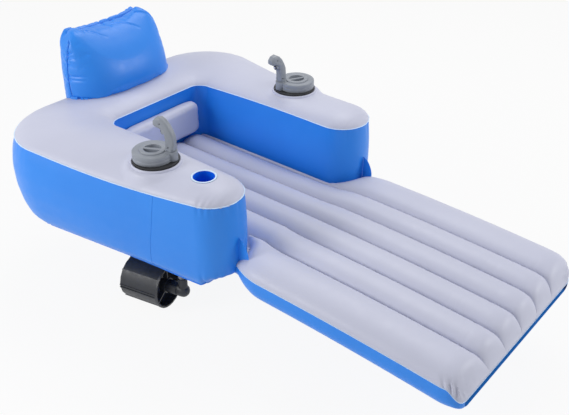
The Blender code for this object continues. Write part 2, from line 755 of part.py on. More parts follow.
def mat_base_section(y):
    half = mat_half_width(y)
    seam, low = mat_seam(y) - TOUCH_GAP, MAT_BOTTOM_Z - mat_drop(y)
    side = [(half, seam), (half + MAT_SIDE_BULGE, blend(seam, low, 0.5)), (half - MAT_SIDE_DRAW_IN, low)]
    return [(-x, y, z) for x, z in reversed(side)] + [(x, y, z) for x, z in side]


def build_mat(room):
    rows = mat_rows()
    top = loft("mat_top_panel", [mat_top_section(y) for y in rows], pearl_vinyl)
    base = loft("mat_base", [mat_base_section(y) for y in rows], blue_vinyl)
    for panel in (top, base):
        cut(panel, room)
        panel.modifiers.new("triangles", "TRIANGULATE")
    wall_x = MAT_HALF_WIDTH - VALVE_SINK
    cut(base, build_valve("mat_valve", (wall_x, MAT_VALVE_Y, MAT_VALVE_Z), (0, QUARTER, 0)))


def build_pillow():
    rings = []
    depth = PILLOW_BACK_Y - PILLOW_FRONT_Y
    for i, height in enumerate(PILLOW_HEIGHT_SHARES):
        z = blend(PILLOW_BASE_Z, PILLOW_TOP_Z, height)
        front = PILLOW_FRONT_Y + depth * PILLOW_FRONT_SHARES[i]
        back = PILLOW_FRONT_Y + depth * PILLOW_BACK_SHARES[i]
        half = PILLOW_HALF_WIDTH * PILLOW_WIDTH_SHARES[i]
        sag = PILLOW_TOP_SAG * height ** 2
        rings.append([(x, (front + back) / 2 + y, z - sag * (1 - (x / half) ** 2))
                      for x, y in oval(half, (back - front) / 2, PILLOW_END_POWER, PILLOW_POINTS)])
    pillow = loft("headrest_pillow", rings, blue_vinyl)
    cut(pillow, whole_u("pillow_cutter", pillow_cutter_section, None))
    valve_y = PILLOW_FRONT_Y + depth * PILLOW_VALVE_Y_SHARE - VALVE_SINK
    cut(pillow, build_valve("headrest_valve", (0, valve_y, PILLOW_VALVE_Z), (PILLOW_VALVE_TILT - QUARTER, 0, 0)))


def build_lumbar(room):
    half_height = (LUMBAR_HIGH_Z - LUMBAR_LOW_Z) / 2
    middle = (LUMBAR_HIGH_Z + LUMBAR_LOW_Z) / 2
    wall = WELL_BACK_Y + LUMBAR_OVERLAP
    rings = []
    for inset_share, depth_share in zip(LUMBAR_INSET_SHARES, LUMBAR_DEPTH_SHARES):
        inset = LUMBAR_THICKNESS * inset_share
        rings.append([(x, wall - LUMBAR_THICKNESS * depth_share, middle + z) for x, z in
                      oval(LUMBAR_HALF_WIDTH - inset, half_height - inset, LUMBAR_END_POWER, LUMBAR_POINTS)])
    cut(loft("lumbar_pad", rings, pearl_vinyl), room)


def build_flap(side, room):
    """A rounded fin of vinyl standing on the front of an arm's end."""
    x = SIDES[side][0] * ARM_END_X
    root = -ARM_END_RADIUS
    outline = [(root - FLAP_REACH * math.sin(math.pi * i / FLAP_POINTS),
                FLAP_MIDDLE_Z - FLAP_HALF_HEIGHT * math.cos(math.pi * i / FLAP_POINTS))
               for i in range(FLAP_POINTS + 1)]
    half = FLAP_THICKNESS / 2
    cut(loft(side + "_mat_flap", [[(x - half, y, z) for y, z in outline], [(x + half, y, z) for y, z in outline]],
             blue_vinyl), room)


def build_port(side):
    """Sleeve welded through the arm, with its collar at the top."""
    base = axis_empty(side + "_port_axis", (*port_centre(side), 0))
    turned(side + "_port_sleeve", [
        (PORT_BORE_RADIUS, COLLAR_TOP_Z), (COLLAR_RADIUS, COLLAR_TOP_Z), (COLLAR_RADIUS, COLLAR_LOW_Z),
        (PORT_BORE_RADIUS + PORT_WALL, COLLAR_LOW_Z), (PORT_BORE_RADIUS + PORT_WALL, 0), (PORT_BORE_RADIUS, 0)],
        pearl_vinyl, base, LARGE_TURN)


def build_housing(side, unit):
    """Disc housing with its gasket, the battery case below it and the cells' carrier."""
    low, high = -GASKET_THICKNESS - TOUCH_GAP, -TOUCH_GAP
    case_hole = CASE_FLANGE_RADIUS + TOUCH_GAP
    tube_hole = TUBE_RADIUS + TOUCH_GAP
    at_handle = (HANDLE_OFFSET, 0)
    gasket = rod(side + "_port_gasket", GASKET_RADIUS, low, high, black_rubber, unit, LARGE_TURN, (PORT_OFFSET, 0))
    cut(gasket,
        rod(side + "_gasket_case_cutter", case_hole, low - CUT_OVERRUN, CUT_OVERRUN, None, unit, MEDIUM_TURN),
        rod(side + "_gasket_tube_cutter", tube_hole, low - CUT_OVERRUN, CUT_OVERRUN, None, unit, SMALL_TURN,
            at_handle))

    groove = DISC_GROOVE_DEPTH
    housing = turned(side + "_housing", [
        (0, DISC_HEIGHT), (DISC_RADIUS - DISC_EDGE, DISC_HEIGHT), (DISC_RADIUS, DISC_HEIGHT - DISC_EDGE),
        (DISC_RADIUS, DISC_GROOVE_Z + groove), (DISC_RADIUS - groove, DISC_GROOVE_Z),
        (DISC_RADIUS, DISC_GROOVE_Z - groove), (DISC_RADIUS, 0), (0, 0)], grey_plastic, unit, LARGE_TURN)
    collar_radius = NOTCH_RADIUS + HANDLE_COLLAR_WALL
    join(housing, rod(side + "_collar", collar_radius, TOUCH_GAP, HANDLE_COLLAR_HEIGHT, None, unit, MEDIUM_TURN,
                      at_handle))
    top, under = DISC_HEIGHT + CUT_OVERRUN, -CUT_OVERRUN
    bay = turned(side + "_bay_cutter", [
        (0, top), (LEDGE_RADIUS, top), (LEDGE_RADIUS, LEDGE_Z), (BAY_RADIUS, LEDGE_Z), (BAY_RADIUS, under),
        (0, under)], None, unit, LARGE_TURN)
    notch = turned(side + "_notch_cutter", [
        (0, top), (NOTCH_RADIUS, top), (NOTCH_RADIUS, FLOOR_THICKNESS), (tube_hole, FLOOR_THICKNESS),
        (tube_hole, under), (0, under)], None, unit, MEDIUM_TURN)
    notch.location = (*at_handle, 0)
    cut(housing, bay, notch)

    inner = CASE_RADIUS - CASE_WALL
    floor = -CASE_DEPTH
    turned(side + "_battery_case", [
        (0, floor + CASE_WALL), (inner, floor + CASE_WALL), (inner, -TOUCH_GAP), (CASE_FLANGE_RADIUS, -TOUCH_GAP),
        (CASE_FLANGE_RADIUS, -TOUCH_GAP - CASE_FLANGE_THICKNESS),
        (CASE_RADIUS, -TOUCH_GAP - CASE_FLANGE_THICKNESS), (CASE_RADIUS, floor), (0, floor)],
        black_plastic, unit, MEDIUM_TURN)

    start = floor + CASE_WALL + TOUCH_GAP
    end = start + CARRIER_LENGTH
    carrier = rod(side + "_battery_carrier", CARRIER_CORE_RADIUS, start, end, cell_wrap, unit, FINE_TURN)
    join(carrier,
         rod(side + "_carrier_foot", CARRIER_RADIUS, start, start + CARRIER_PLATE, None, unit, SMALL_TURN),
         rod(side + "_carrier_head", CARRIER_RADIUS, end - CARRIER_PLATE, end, None, unit, SMALL_TURN))
    for i in range(3):
        centre = CELL_CIRCLE_RADIUS * unit_vector(TWO_PI * i / 3)
        join(carrier, rod("%s_cells_%d" % (side, i), CELL_RADIUS, start + CARRIER_PLATE / 2, end - CARRIER_PLATE / 2,
                          None, unit, FINE_TURN, centre))


def build_cap(side, unit):
    """Battery cap with its seal; it lifts and turns about the battery bay's axis."""
    seal_low = LEDGE_Z + TOUCH_GAP
    lift = axis_empty(side + "_cap_axis", (0, 0, 0), parent=unit)
    seal_bore = CAP_SKIRT_RADIUS + BUTTON_CLEARANCE
    tube(side + "_cap_seal", seal_bore, seal_bore + SEAL_WIDTH, seal_low, seal_low + SEAL_THICKNESS,
         black_rubber, lift, LARGE_TURN)
    low = seal_low + SEAL_THICKNESS + TOUCH_GAP
    high = low + CAP_PLATE
    floor = high - RECESS_DEPTH
    skirt = CAP_SKIRT_RADIUS - CAP_SKIRT_WALL
    cap = turned(side + "_battery_cap", [
        (0, floor), (RECESS_RADIUS, floor), (RECESS_RADIUS, high), (CAP_RADIUS - CAP_EDGE, high),
        (CAP_RADIUS, high - CAP_EDGE), (CAP_RADIUS, low), (CAP_SKIRT_RADIUS, low),
        (CAP_SKIRT_RADIUS, low - CAP_SKIRT_LENGTH), (skirt, low - CAP_SKIRT_LENGTH),
        (skirt, floor - RECESS_FLOOR), (0, floor - RECESS_FLOOR)], grey_plastic, lift, LARGE_TURN)
    bar = block(side + "_grip_bar", (-RECESS_RADIUS - CAP_EDGE, -GRIP_BAR_WIDTH / 2, floor - RECESS_FLOOR / 2),
                (RECESS_RADIUS + CAP_EDGE, GRIP_BAR_WIDTH / 2, high - GRIP_BAR_DROP), None, lift)
    join(cap, bar)


TUBE_FLANGE_LOW = FLOOR_THICKNESS + TOUCH_GAP
BUSH_LOW = TUBE_FLANGE_LOW + TUBE_FLANGE + TOUCH_GAP
HANDLE_LOW = BUSH_LOW + BUSH_FLANGE + TOUCH_GAP
TUBE_END = TUBE_END_Z - DISC_SEAT_Z
MOTOR_AXIS = MOTOR_AXIS_Z - DISC_SEAT_Z
BOSS_TOP = TUBE_END - TOUCH_GAP - BUSH_FLANGE - TURN_CLEARANCE


def build_column(side, fixed, steer):
    """Fixed drive tube with its two bushes, and the steering shaft inside."""
    flange_top = TUBE_FLANGE_LOW + TUBE_FLANGE
    turned(side + "_drive_tube", [
        (TUBE_BORE_RADIUS, flange_top), (TUBE_FLANGE_RADIUS, flange_top), (TUBE_FLANGE_RADIUS, TUBE_FLANGE_LOW),
        (TUBE_RADIUS, TUBE_FLANGE_LOW), (TUBE_RADIUS, TUBE_END), (TUBE_BORE_RADIUS, TUBE_END)],
        grey_plastic, fixed, SMALL_TURN)
    body = TUBE_BORE_RADIUS - TOUCH_GAP
    turned(side + "_upper_bush", [
        (BUSH_BORE_RADIUS, BUSH_LOW + BUSH_FLANGE), (BUSH_FLANGE_RADIUS, BUSH_LOW + BUSH_FLANGE),
        (BUSH_FLANGE_RADIUS, BUSH_LOW), (body, BUSH_LOW), (body, BUSH_LOW - BUSH_LENGTH),
        (BUSH_BORE_RADIUS, BUSH_LOW - BUSH_LENGTH)], brass, fixed, SMALL_TURN)
    low = TUBE_END - TOUCH_GAP
    turned(side + "_lower_bush", [
        (BUSH_BORE_RADIUS, low + BUSH_LENGTH), (body, low + BUSH_LENGTH), (body, low), (BUSH_FLANGE_RADIUS, low),
        (BUSH_FLANGE_RADIUS, low - BUSH_FLANGE), (BUSH_BORE_RADIUS, low - BUSH_FLANGE)], brass, fixed, SMALL_TURN)
    tube(side + "_steering_shaft", SHAFT_RADIUS - SHAFT_WALL, SHAFT_RADIUS,
         BOSS_TOP - SHAFT_SOCKET_DEPTH + TOUCH_GAP, HANDLE_BASE_HEIGHT, steel, steer, SMALL_TURN)


def along_beak(obj):
    """Lay a Z-turned piece along the beak's direction at the trigger's height."""
    obj.location.z = BUTTON_Z
    obj.rotation_euler.x = -QUARTER
    return obj


def handle_form(name, material, steer):
    """The whole handle: a rounded plate in the plane of the beak, on a round base, with the trigger's boss."""
    outline = smooth_loop([(reach * HANDLE_REACH, height * HANDLE_HEIGHT)
                           for reach, height in reversed(HANDLE_PROFILE_SHARES)], 1)
    rings = []
    for across, inset in HANDLE_LAYER_SHARES:
        rings.append([(across * HANDLE_THICKNESS / 2, y, z)
                      for y, z in inset_loop(outline, inset * HANDLE_EDGE)])
    handle = loft(name, rings, material, steer)
    base = rod(name + "_base", HANDLE_BASE_RADIUS, HANDLE_LOW, HANDLE_BASE_HEIGHT, None, steer, MEDIUM_TURN)
    return join(handle, base, along_beak(rod(name + "_boss", BOSS_RADIUS, 0, BOSS_REACH, None, steer, SMALL_TURN)))


BUTTON_END = BOSS_REACH + BUTTON_PROUD
BUTTON_START = BUTTON_END - BUTTON_LENGTH
SWITCH_END = BUTTON_START - BUTTON_TRAVEL - TOUCH_GAP


def build_handle(side, steer):
    """Two handle halves, split in the plane of the beak, round the trigger button and its switch."""
    bore = BUTTON_RADIUS + BUTTON_CLEARANCE
    chamber = BUTTON_FLANGE_RADIUS + BUTTON_CLEARANCE
    flange_end = BUTTON_START + BUTTON_FLANGE + BUTTON_CLEARANCE
    wide, tall = SWITCH_WIDTH / 2 + TOUCH_GAP, SWITCH_HEIGHT / 2 + TOUCH_GAP
    switch_start = SWITCH_END - SWITCH_LENGTH
    hollow = along_beak(turned(side + "_trigger_cutter", [
        (0, BOSS_REACH + CUT_OVERRUN), (bore, BOSS_REACH + CUT_OVERRUN), (bore, flange_end), (chamber, flange_end),
        (chamber, SWITCH_END), (0, SWITCH_END)], None, steer, SMALL_TURN))
    pocket = block(side + "_switch_cutter", (-wide, switch_start - TOUCH_GAP, BUTTON_Z - tall),
                   (wide, SWITCH_END + TOUCH_GAP, BUTTON_Z + tall), None, steer)
    socket = rod(side + "_socket_cutter", SHAFT_RADIUS + TOUCH_GAP, HANDLE_LOW - CUT_OVERRUN,
                 HANDLE_BASE_HEIGHT + TOUCH_GAP, None, steer, SMALL_TURN)
    reach = HANDLE_REACH * 2
    for half, sign in (("outer", -1), ("inner", 1)):
        piece = handle_form("%s_handle_%s_half" % (side, half), grey_plastic, steer)
        near, far = sorted((-sign * reach, sign * TOUCH_GAP / 2))
        cut(piece, block("%s_%s_half_cutter" % (side, half), (near, -reach, -CUT_OVERRUN),
                         (far, reach, HANDLE_HEIGHT + CUT_OVERRUN), None, steer), socket, hollow, pocket)
        for i, (reach_share, height_share) in enumerate(SCREW_PLACE_SHARES):
            hole = rod("%s_%s_screw_cutter_%d" % (side, half, i), SCREW_HOLE_RADIUS,
                       HANDLE_THICKNESS / 2 - SCREW_HOLE_DEPTH, HANDLE_THICKNESS, None, steer, FINE_TURN)
            hole.rotation_euler.y = sign * QUARTER
            hole.location = (0, reach_share * HANDLE_REACH, height_share * HANDLE_HEIGHT)
            cut(piece, hole)

    along_beak(turned(side + "_trigger_button", [
        (0, BUTTON_END), (BUTTON_RADIUS - BUTTON_EDGE, BUTTON_END), (BUTTON_RADIUS, BUTTON_END - BUTTON_EDGE),
        (BUTTON_RADIUS, BUTTON_START + BUTTON_FLANGE), (BUTTON_FLANGE_RADIUS, BUTTON_START + BUTTON_FLANGE),
        (BUTTON_FLANGE_RADIUS, BUTTON_START), (0, BUTTON_START)], black_plastic, steer, SMALL_TURN))
    block(side + "_trigger_switch", (-SWITCH_WIDTH / 2, switch_start, BUTTON_Z - SWITCH_HEIGHT / 2),
          (SWITCH_WIDTH / 2, SWITCH_END - TOUCH_GAP, BUTTON_Z + SWITCH_HEIGHT / 2), black_plastic, steer)


def build_motor(side, steer):
    """Pod head with the steering boss, motor pod and motor; local +Z of the motor's axis points aft."""
    axis = axis_empty(side + "_motor_axis", (0, 0, MOTOR_AXIS), (-QUARTER, 0, 0), steer)
    spigot = POD_BORE_RADIUS - TOUCH_GAP
    dome = [(POD_RADIUS * radius, POD_TIP_Y * reach) for reach, radius in reversed(DOME_SHARES)]
    head = turned(side + "_pod_head", [
        (0, POD_JOINT_Y + POD_SPIGOT), (spigot, POD_JOINT_Y + POD_SPIGOT), (spigot, POD_JOINT_Y),
        (POD_RADIUS, POD_JOINT_Y)] + dome, black_plastic, axis, MEDIUM_TURN)
    boss = rod(side + "_pod_boss", BOSS_TUBE_RADIUS, MOTOR_AXIS, BOSS_TOP, None, steer, MEDIUM_TURN)
    socket = rod(side + "_boss_cutter", SHAFT_RADIUS + TOUCH_GAP, BOSS_TOP - SHAFT_SOCKET_DEPTH,
                 BOSS_TOP + CUT_OVERRUN, None, steer, SMALL_TURN)
    cut(join(head, boss), socket)

    joint = POD_JOINT_Y + TOUCH_GAP
    motor_end = MOTOR_START_Y + MOTOR_LENGTH
    turned(side + "_motor_pod", [
        (SHAFT_HOLE_RADIUS, POD_TAIL_Y), (POD_TAIL_RADIUS, POD_TAIL_Y), (POD_RADIUS, POD_TAPER_Y),
        (POD_RADIUS, joint), (POD_BORE_RADIUS, joint), (POD_BORE_RADIUS, motor_end + TOUCH_GAP),
        (SHAFT_HOLE_RADIUS, motor_end + TOUCH_GAP)], black_plastic, axis, MEDIUM_TURN)
    tube(side + "_motor", MOTOR_BORE_RADIUS, MOTOR_RADIUS, MOTOR_START_Y, motor_end, steel, axis, SMALL_TURN)
    return axis


def blade(name, angle, parent):
    """A twisted blade: sections of changing chord, pitch angle and thickness along its span."""
    middle = PROP_START_Y + HUB_LENGTH / 2
    spin = Matrix.Rotation(angle, 3, "Z")
    rings = []
    for span, chord_share, thick_share in zip(BLADE_SPAN_SHARES, BLADE_CHORD_SHARES, BLADE_THICKNESS_SHARES):
        radius = blend(BLADE_ROOT_RADIUS, BLADE_TIP_RADIUS, span)
        pitch = math.atan2(BLADE_PITCH, TWO_PI * radius)
        ring = []
        for along, across in BLADE_SECTION_SHARES:
            s = along * BLADE_CHORD * chord_share
            n = across * BLADE_THICKNESS * thick_share
            ring.append(spin @ Vector((radius, s * math.cos(pitch) - n * math.sin(pitch),
                                       middle + s * math.sin(pitch) + n * math.cos(pitch))))
        rings.append(ring)
    return loft(name, rings, None, parent)


def build_propeller(side, axis):
    """Drive shaft, three-bladed propeller and its domed nut."""
    end = PROP_START_Y + HUB_LENGTH
    nut_start = end + TOUCH_GAP
    shaft_end = nut_start + NUT_BORE - TOUCH_GAP
    rod(side + "_drive_shaft", DRIVE_SHAFT_RADIUS, DRIVE_SHAFT_START_Y, shaft_end, steel, axis, FINE_TURN)
    bore = DRIVE_SHAFT_RADIUS + TOUCH_GAP
    propeller = turned(side + "_propeller", [
        (bore, end), (HUB_RADIUS - HUB_EDGE, end), (HUB_RADIUS, end - HUB_EDGE), (HUB_RADIUS, PROP_START_Y),
        (bore, PROP_START_Y)], black_plastic, axis, SMALL_TURN)
    for i in range(BLADE_COUNT):
        join(propeller, blade("%s_blade_%d" % (side, i), TWO_PI * i / BLADE_COUNT, axis))
    cut(propeller, rod(side + "_bore_cutter", bore, PROP_START_Y - CUT_OVERRUN, end + CUT_OVERRUN, None, axis,
                       SMALL_TURN))
    straight = NUT_LENGTH - NUT_RADIUS
    dome = [(NUT_RADIUS * radius, nut_start + straight + NUT_RADIUS * reach) for reach, radius in DOME_SHARES]
    turned(side + "_propeller_nut", dome + [
        (NUT_RADIUS, nut_start), (bore, nut_start), (bore, nut_start + NUT_BORE), (0, nut_start + NUT_BORE)],
        black_plastic, axis, SMALL_TURN)


def shroud_outline():
    """Angles and radii round the shroud, with rail-like ribs in pairs and alone by turns."""
    points = []
    half = RIB_WIDTH / 2 / SHROUD_RADIUS
    offset = RIB_PAIR_PITCH / 2 / SHROUD_RADIUS
    group_pitch = TWO_PI / RIB_GROUPS
    for group in range(RIB_GROUPS):
        middle = group * group_pitch
        paired = group % 2 == 0
        centres = [middle - offset, middle + offset] if paired else [middle]
        for centre in centres:
            points += [(centre - half, SHROUD_RADIUS), (centre - half, SHROUD_RADIUS + RIB_HEIGHT),
                       (centre + half, SHROUD_RADIUS + RIB_HEIGHT), (centre + half, SHROUD_RADIUS)]
        last = centres[-1] + half
        first = middle + group_pitch - half - (0 if paired else offset)
        points += [(blend(last, first, i / (ARC_POINTS + 1)), SHROUD_RADIUS) for i in range(1, ARC_POINTS + 1)]
    return points


def build_shroud(side, axis):
    """Ribbed shroud with a lip, held to the motor pod by struts and a clamping ring."""
    low, high = SHROUD_FRONT_Y, SHROUD_FRONT_Y + SHROUD_LENGTH
    inner = SHROUD_RADIUS - SHROUD_WALL
    outline = shroud_outline()
    outside = [(radius * math.cos(angle), radius * math.sin(angle)) for angle, radius in outline]
    inside = [(inner * math.cos(angle), inner * math.sin(angle)) for angle, _ in outline]
    shroud = loft(side + "_shroud", [[(x, y, z) for x, y in ring] for ring, z in
                                     ((outside, low), (outside, high), (inside, high), (inside, low))],
                  black_plastic, axis, wrap=True)
    join(shroud, tube(side + "_lip", SHROUD_RADIUS - SHROUD_WALL / 2, LIP_RADIUS, low - LIP_LENGTH / 3,
                      low + LIP_LENGTH, None, axis, LARGE_TURN))
    start = low + CLAMP_START
    clamp = POD_RADIUS + FIT_GAP
    join(shroud, tube(side + "_clamp", clamp, clamp + CLAMP_WALL, start, start + CLAMP_LENGTH, None, axis,
                      MEDIUM_TURN))
    margin = (CLAMP_LENGTH - STRUT_CHORD) / 2
    for i in range(STRUT_COUNT):
        join(shroud, block("%s_strut_%d" % (side, i),
                           (clamp + CLAMP_WALL - STRUT_OVERLAP, -STRUT_THICKNESS / 2, start + margin),
                           (inner + STRUT_OVERLAP, STRUT_THICKNESS / 2, start + CLAMP_LENGTH - margin),
                           None, axis, TWO_PI * (i / STRUT_COUNT) - QUARTER))


def build_unit(side):
    """One complete drive: port, housing, cap, column, handle, motor, propeller and shroud."""
    _, unit_turn, heading = SIDES[side]
    build_port(side)
    unit = axis_empty(side + "_unit_axis", (*disc_centre(side), DISC_SEAT_Z), (0, 0, unit_turn))
    build_housing(side, unit)
    build_cap(side, unit)
    fixed = axis_empty(side + "_column_axis", (*handle_axis(side), DISC_SEAT_Z))
    steer = axis_empty(side + "_steer_axis", (*handle_axis(side), DISC_SEAT_Z), (0, 0, heading))
    build_column(side, fixed, steer)
    build_handle(side, steer)
    axis = build_motor(side, steer)
    build_propeller(side, axis)
    build_shroud(side, axis)


build_ring()
room_cutter = whole_u("room_cutter", lambda station: chamber_section(station, FIT_GAP), None)
build_mat(room_cutter)
build_pillow()
build_lumbar(room_cutter)
for arm in SIDES:
    build_flap(arm, room_cutter)
    build_unit(arm)
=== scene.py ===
import json
import math

import bmesh
import bpy
import numpy as np
from mathutils import Matrix, Vector
from mathutils.bvhtree import BVHTree
from mathutils.kdtree import KDTree


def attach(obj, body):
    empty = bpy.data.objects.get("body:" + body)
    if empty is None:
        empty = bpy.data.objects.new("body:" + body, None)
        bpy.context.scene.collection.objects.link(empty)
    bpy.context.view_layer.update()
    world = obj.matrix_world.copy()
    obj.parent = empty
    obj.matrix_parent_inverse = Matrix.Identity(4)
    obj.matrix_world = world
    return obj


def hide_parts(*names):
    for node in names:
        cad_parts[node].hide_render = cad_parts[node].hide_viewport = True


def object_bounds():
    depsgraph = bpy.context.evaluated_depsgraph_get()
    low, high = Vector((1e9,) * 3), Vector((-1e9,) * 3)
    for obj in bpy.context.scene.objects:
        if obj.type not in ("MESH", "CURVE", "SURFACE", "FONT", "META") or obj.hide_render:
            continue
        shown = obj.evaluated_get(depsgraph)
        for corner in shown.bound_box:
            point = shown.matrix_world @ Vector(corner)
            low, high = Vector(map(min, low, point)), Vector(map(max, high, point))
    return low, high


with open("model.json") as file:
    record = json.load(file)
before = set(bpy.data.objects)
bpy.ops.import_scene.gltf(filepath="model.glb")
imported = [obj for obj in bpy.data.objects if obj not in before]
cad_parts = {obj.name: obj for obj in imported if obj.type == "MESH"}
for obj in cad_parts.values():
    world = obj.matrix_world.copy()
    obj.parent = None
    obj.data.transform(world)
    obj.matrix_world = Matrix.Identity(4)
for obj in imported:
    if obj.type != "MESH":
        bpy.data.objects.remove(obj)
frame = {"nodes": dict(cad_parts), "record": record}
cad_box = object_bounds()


# Studio: the photograph's camera, a pale floor under the shrouds, and soft light from the
# seated user's right and from in front, as from large windows, with a panel overhead.
camera = bpy.data.objects.new("camera", bpy.data.cameras.new("camera"))
camera.location = (-1.9735, -1.6327, 1.7020)
camera.rotation_euler = (math.radians(57.9), 0, math.radians(-50.6))
camera.data.lens = 50.67
camera.data.sensor_width = 36
bpy.context.scene.collection.objects.link(camera)
bpy.context.scene.camera = camera
bpy.context.scene.view_settings.view_transform = "Standard"


def soft_panel(name, energy, size, location, target):
    lamp = bpy.data.lights.new(name, "AREA")
    lamp.energy = energy
    lamp.size = size
    panel = bpy.data.objects.new(name, lamp)
    panel.location = location
    panel.rotation_euler = (Vector(target) - Vector(location)).to_track_quat("-Z", "Y").to_euler()
    bpy.context.scene.collection.objects.link(panel)


soft_panel("window_panel", 84, 1.8, (-3.7, 2.1, 2.0), (0, 0.1, 0.1))
soft_panel("front_panel", 74, 1.6, (2.8, -4.0, 2.0), (0, 0, 0.1))
soft_panel("overhead_panel", 58, 2.2, (1.6, 0.8, 3.7), (0, 0, 0))


def seen_directly(tree):
    """1 for camera, glossy and transmission rays, which see the pale background itself."""
    path = tree.nodes.new("ShaderNodeLightPath")
    result = path.outputs["Is Camera Ray"]
    for ray in ("Is Glossy Ray", "Is Transmission Ray"):
        larger = tree.nodes.new("ShaderNodeMath")
        larger.operation = "MAXIMUM"
        tree.links.new(result, larger.inputs[0])
        tree.links.new(path.outputs[ray], larger.inputs[1])
        result = larger.outputs[0]
    return result


world = bpy.data.worlds.new("studio")
world.use_nodes = True
bpy.context.scene.world = world
sky = world.node_tree.nodes["Background"]
sky.inputs["Color"].default_value = (0.957, 0.957, 0.957, 1)
level = world.node_tree.nodes.new("ShaderNodeMapRange")
level.inputs["To Min"].default_value = 0.46
world.node_tree.links.new(seen_directly(world.node_tree), level.inputs["Value"])
world.node_tree.links.new(level.outputs[0], sky.inputs["Strength"])


def in_scene(bm, name):
    """Hands a bmesh over to a new object of the scene."""
    piece = bpy.data.objects.new(name, bpy.data.meshes.new(name))
    bm.to_mesh(piece.data)
    bm.free()
    bpy.context.scene.collection.objects.link(piece)
    return piece


disc = bmesh.new()
bmesh.ops.create_circle(disc, cap_ends=True, segments=64, radius=14)
bmesh.ops.translate(disc, verts=disc.verts, vec=(0, 0, cad_box[0].z - 0.004))
floor = in_scene(disc, "floor")
paper = bpy.data.materials.new("paper_floor")
paper.use_nodes = True
tree = paper.node_tree
shaded = tree.nodes["Principled BSDF"]
shaded.inputs["Base Color"].default_value = (0.9, 0.9, 0.9, 1)
shaded.inputs["Roughness"].default_value = 0.9
glow = tree.nodes.new("ShaderNodeEmission")
glow.inputs["Color"].default_value = (0.98, 0.98, 0.98, 1)
share = tree.nodes.new("ShaderNodeMath")
share.operation = "MULTIPLY"
share.inputs[1].default_value = 0.93
mix = tree.nodes.new("ShaderNodeMixShader")
tree.links.new(seen_directly(tree), share.inputs[0])
tree.links.new(share.outputs[0], mix.inputs[0])
tree.links.new(shaded.outputs[0], mix.inputs[1])
tree.links.new(glow.outputs[0], mix.inputs[2])
tree.links.new(mix.outputs[0], tree.nodes["Material Output"].inputs["Surface"])
floor.data.materials.append(paper)


# Air chamber's top sheet: pearl PVC film, cut to the U and heat-welded to the walls all round,
# so that air pressure crowns it and gathers short pleats wherever the weld turns.
def surface_group(name, inputs):
    """A node group with a colour, roughness and height output, and its end nodes."""
    group = bpy.data.node_groups.new(name, "ShaderNodeTree")
    for way, labels in (("INPUT", inputs), ("OUTPUT", ("Colour", "Roughness", "Height"))):
        for label in labels:
            kind = "NodeSocketColor" if "colour" in label.lower() else "NodeSocketFloat"
            group.interface.new_socket(label, in_out=way, socket_type=kind)
    return group, group.nodes.new("NodeGroupInput"), group.nodes.new("NodeGroupOutput")


def noise(group, scale, detail=2.0, stretch=(1, 1, 1)):
    """Noise on object coordinates, stretched by a Mapping node."""
    place = group.nodes.new("ShaderNodeTexCoord")
    turn = group.nodes.new("ShaderNodeMapping")
    turn.inputs["Scale"].default_value = stretch
    pattern = group.nodes.new("ShaderNodeTexNoise")
    pattern.inputs["Scale"].default_value = scale
    pattern.inputs["Detail"].default_value = detail
    group.links.new(place.outputs["Object"], turn.inputs["Vector"])
    group.links.new(turn.outputs["Vector"], pattern.inputs["Vector"])
    return pattern.outputs["Fac"]


def spread(group, value, low, high, cut_low=0.3, cut_high=0.7):
    """A value's middle range laid over low to high; either end may be a socket."""
    span = group.nodes.new("ShaderNodeMapRange")
    span.inputs["From Min"].default_value = cut_low
    span.inputs["From Max"].default_value = cut_high
    group.links.new(value, span.inputs["Value"])
    for label, end in (("To Min", low), ("To Max", high)):
        if isinstance(end, (int, float)):
            span.inputs[label].default_value = end
        else:
            group.links.new(end, span.inputs[label])
    return span.outputs["Result"]


def add_values(group, first, second, operation="ADD"):
    node = group.nodes.new("ShaderNodeMath")
    node.operation = operation
    for socket, value in zip(node.inputs, (first, second)):
        if isinstance(value, (int, float)):
            socket.default_value = value
        else:
            group.links.new(value, socket)
    return node.outputs[0]


def mix_colours(group, share, first, second):
    node = group.nodes.new("ShaderNodeMix")
    node.data_type = "RGBA"
    for socket, value in zip((node.inputs["Factor"], node.inputs["A"], node.inputs["B"]),
                             (share, first, second)):
        group.links.new(value, socket)
    return node.outputs["Result"]


film_group, film_in, film_out = surface_group("welded_film", (
    "Colour", "Deep colour", "Gloss low", "Gloss high", "Grain"))
broad = noise(film_group, 2.6, 3.0)
film_group.links.new(mix_colours(film_group, spread(film_group, broad, 0.0, 1.0), film_in.outputs["Colour"],
                                 film_in.outputs["Deep colour"]), film_out.inputs["Colour"])
film_group.links.new(spread(film_group, noise(film_group, 34, 4.0), film_in.outputs["Gloss low"],
                            film_in.outputs["Gloss high"]), film_out.inputs["Roughness"])
emboss = add_values(film_group, noise(film_group, 720, 1.0), film_in.outputs["Grain"], "MULTIPLY")
buckle = add_values(film_group, noise(film_group, 17, 2.0), 0.9, "MULTIPLY")
film_group.links.new(add_values(film_group, emboss, buckle), film_out.inputs["Height"])


def surface_material(name, shared_group, shader_values, group_values, bump_depth, bump_strength):
    """A material whose colour, roughness and bump come from a shared group, and the rest from its shader."""
    material = bpy.data.materials.new(name)
    material.use_nodes = True
    tree = material.node_tree
    shader = tree.nodes["Principled BSDF"]
    for label, value in shader_values:
        shader.inputs[label].default_value = value
    group = tree.nodes.new("ShaderNodeGroup")
    group.node_tree = shared_group
    for label, value in group_values:
        group.inputs[label].default_value = value
    bump = tree.nodes.new("ShaderNodeBump")
    bump.inputs["Distance"].default_value = bump_depth
    bump.inputs["Strength"].default_value = bump_strength
    tree.links.new(group.outputs["Colour"], shader.inputs["Base Color"])
    tree.links.new(group.outputs["Roughness"], shader.inputs["Roughness"])
    tree.links.new(group.outputs["Height"], bump.inputs["Height"])
    tree.links.new(bump.outputs["Normal"], shader.inputs["Normal"])
    return material


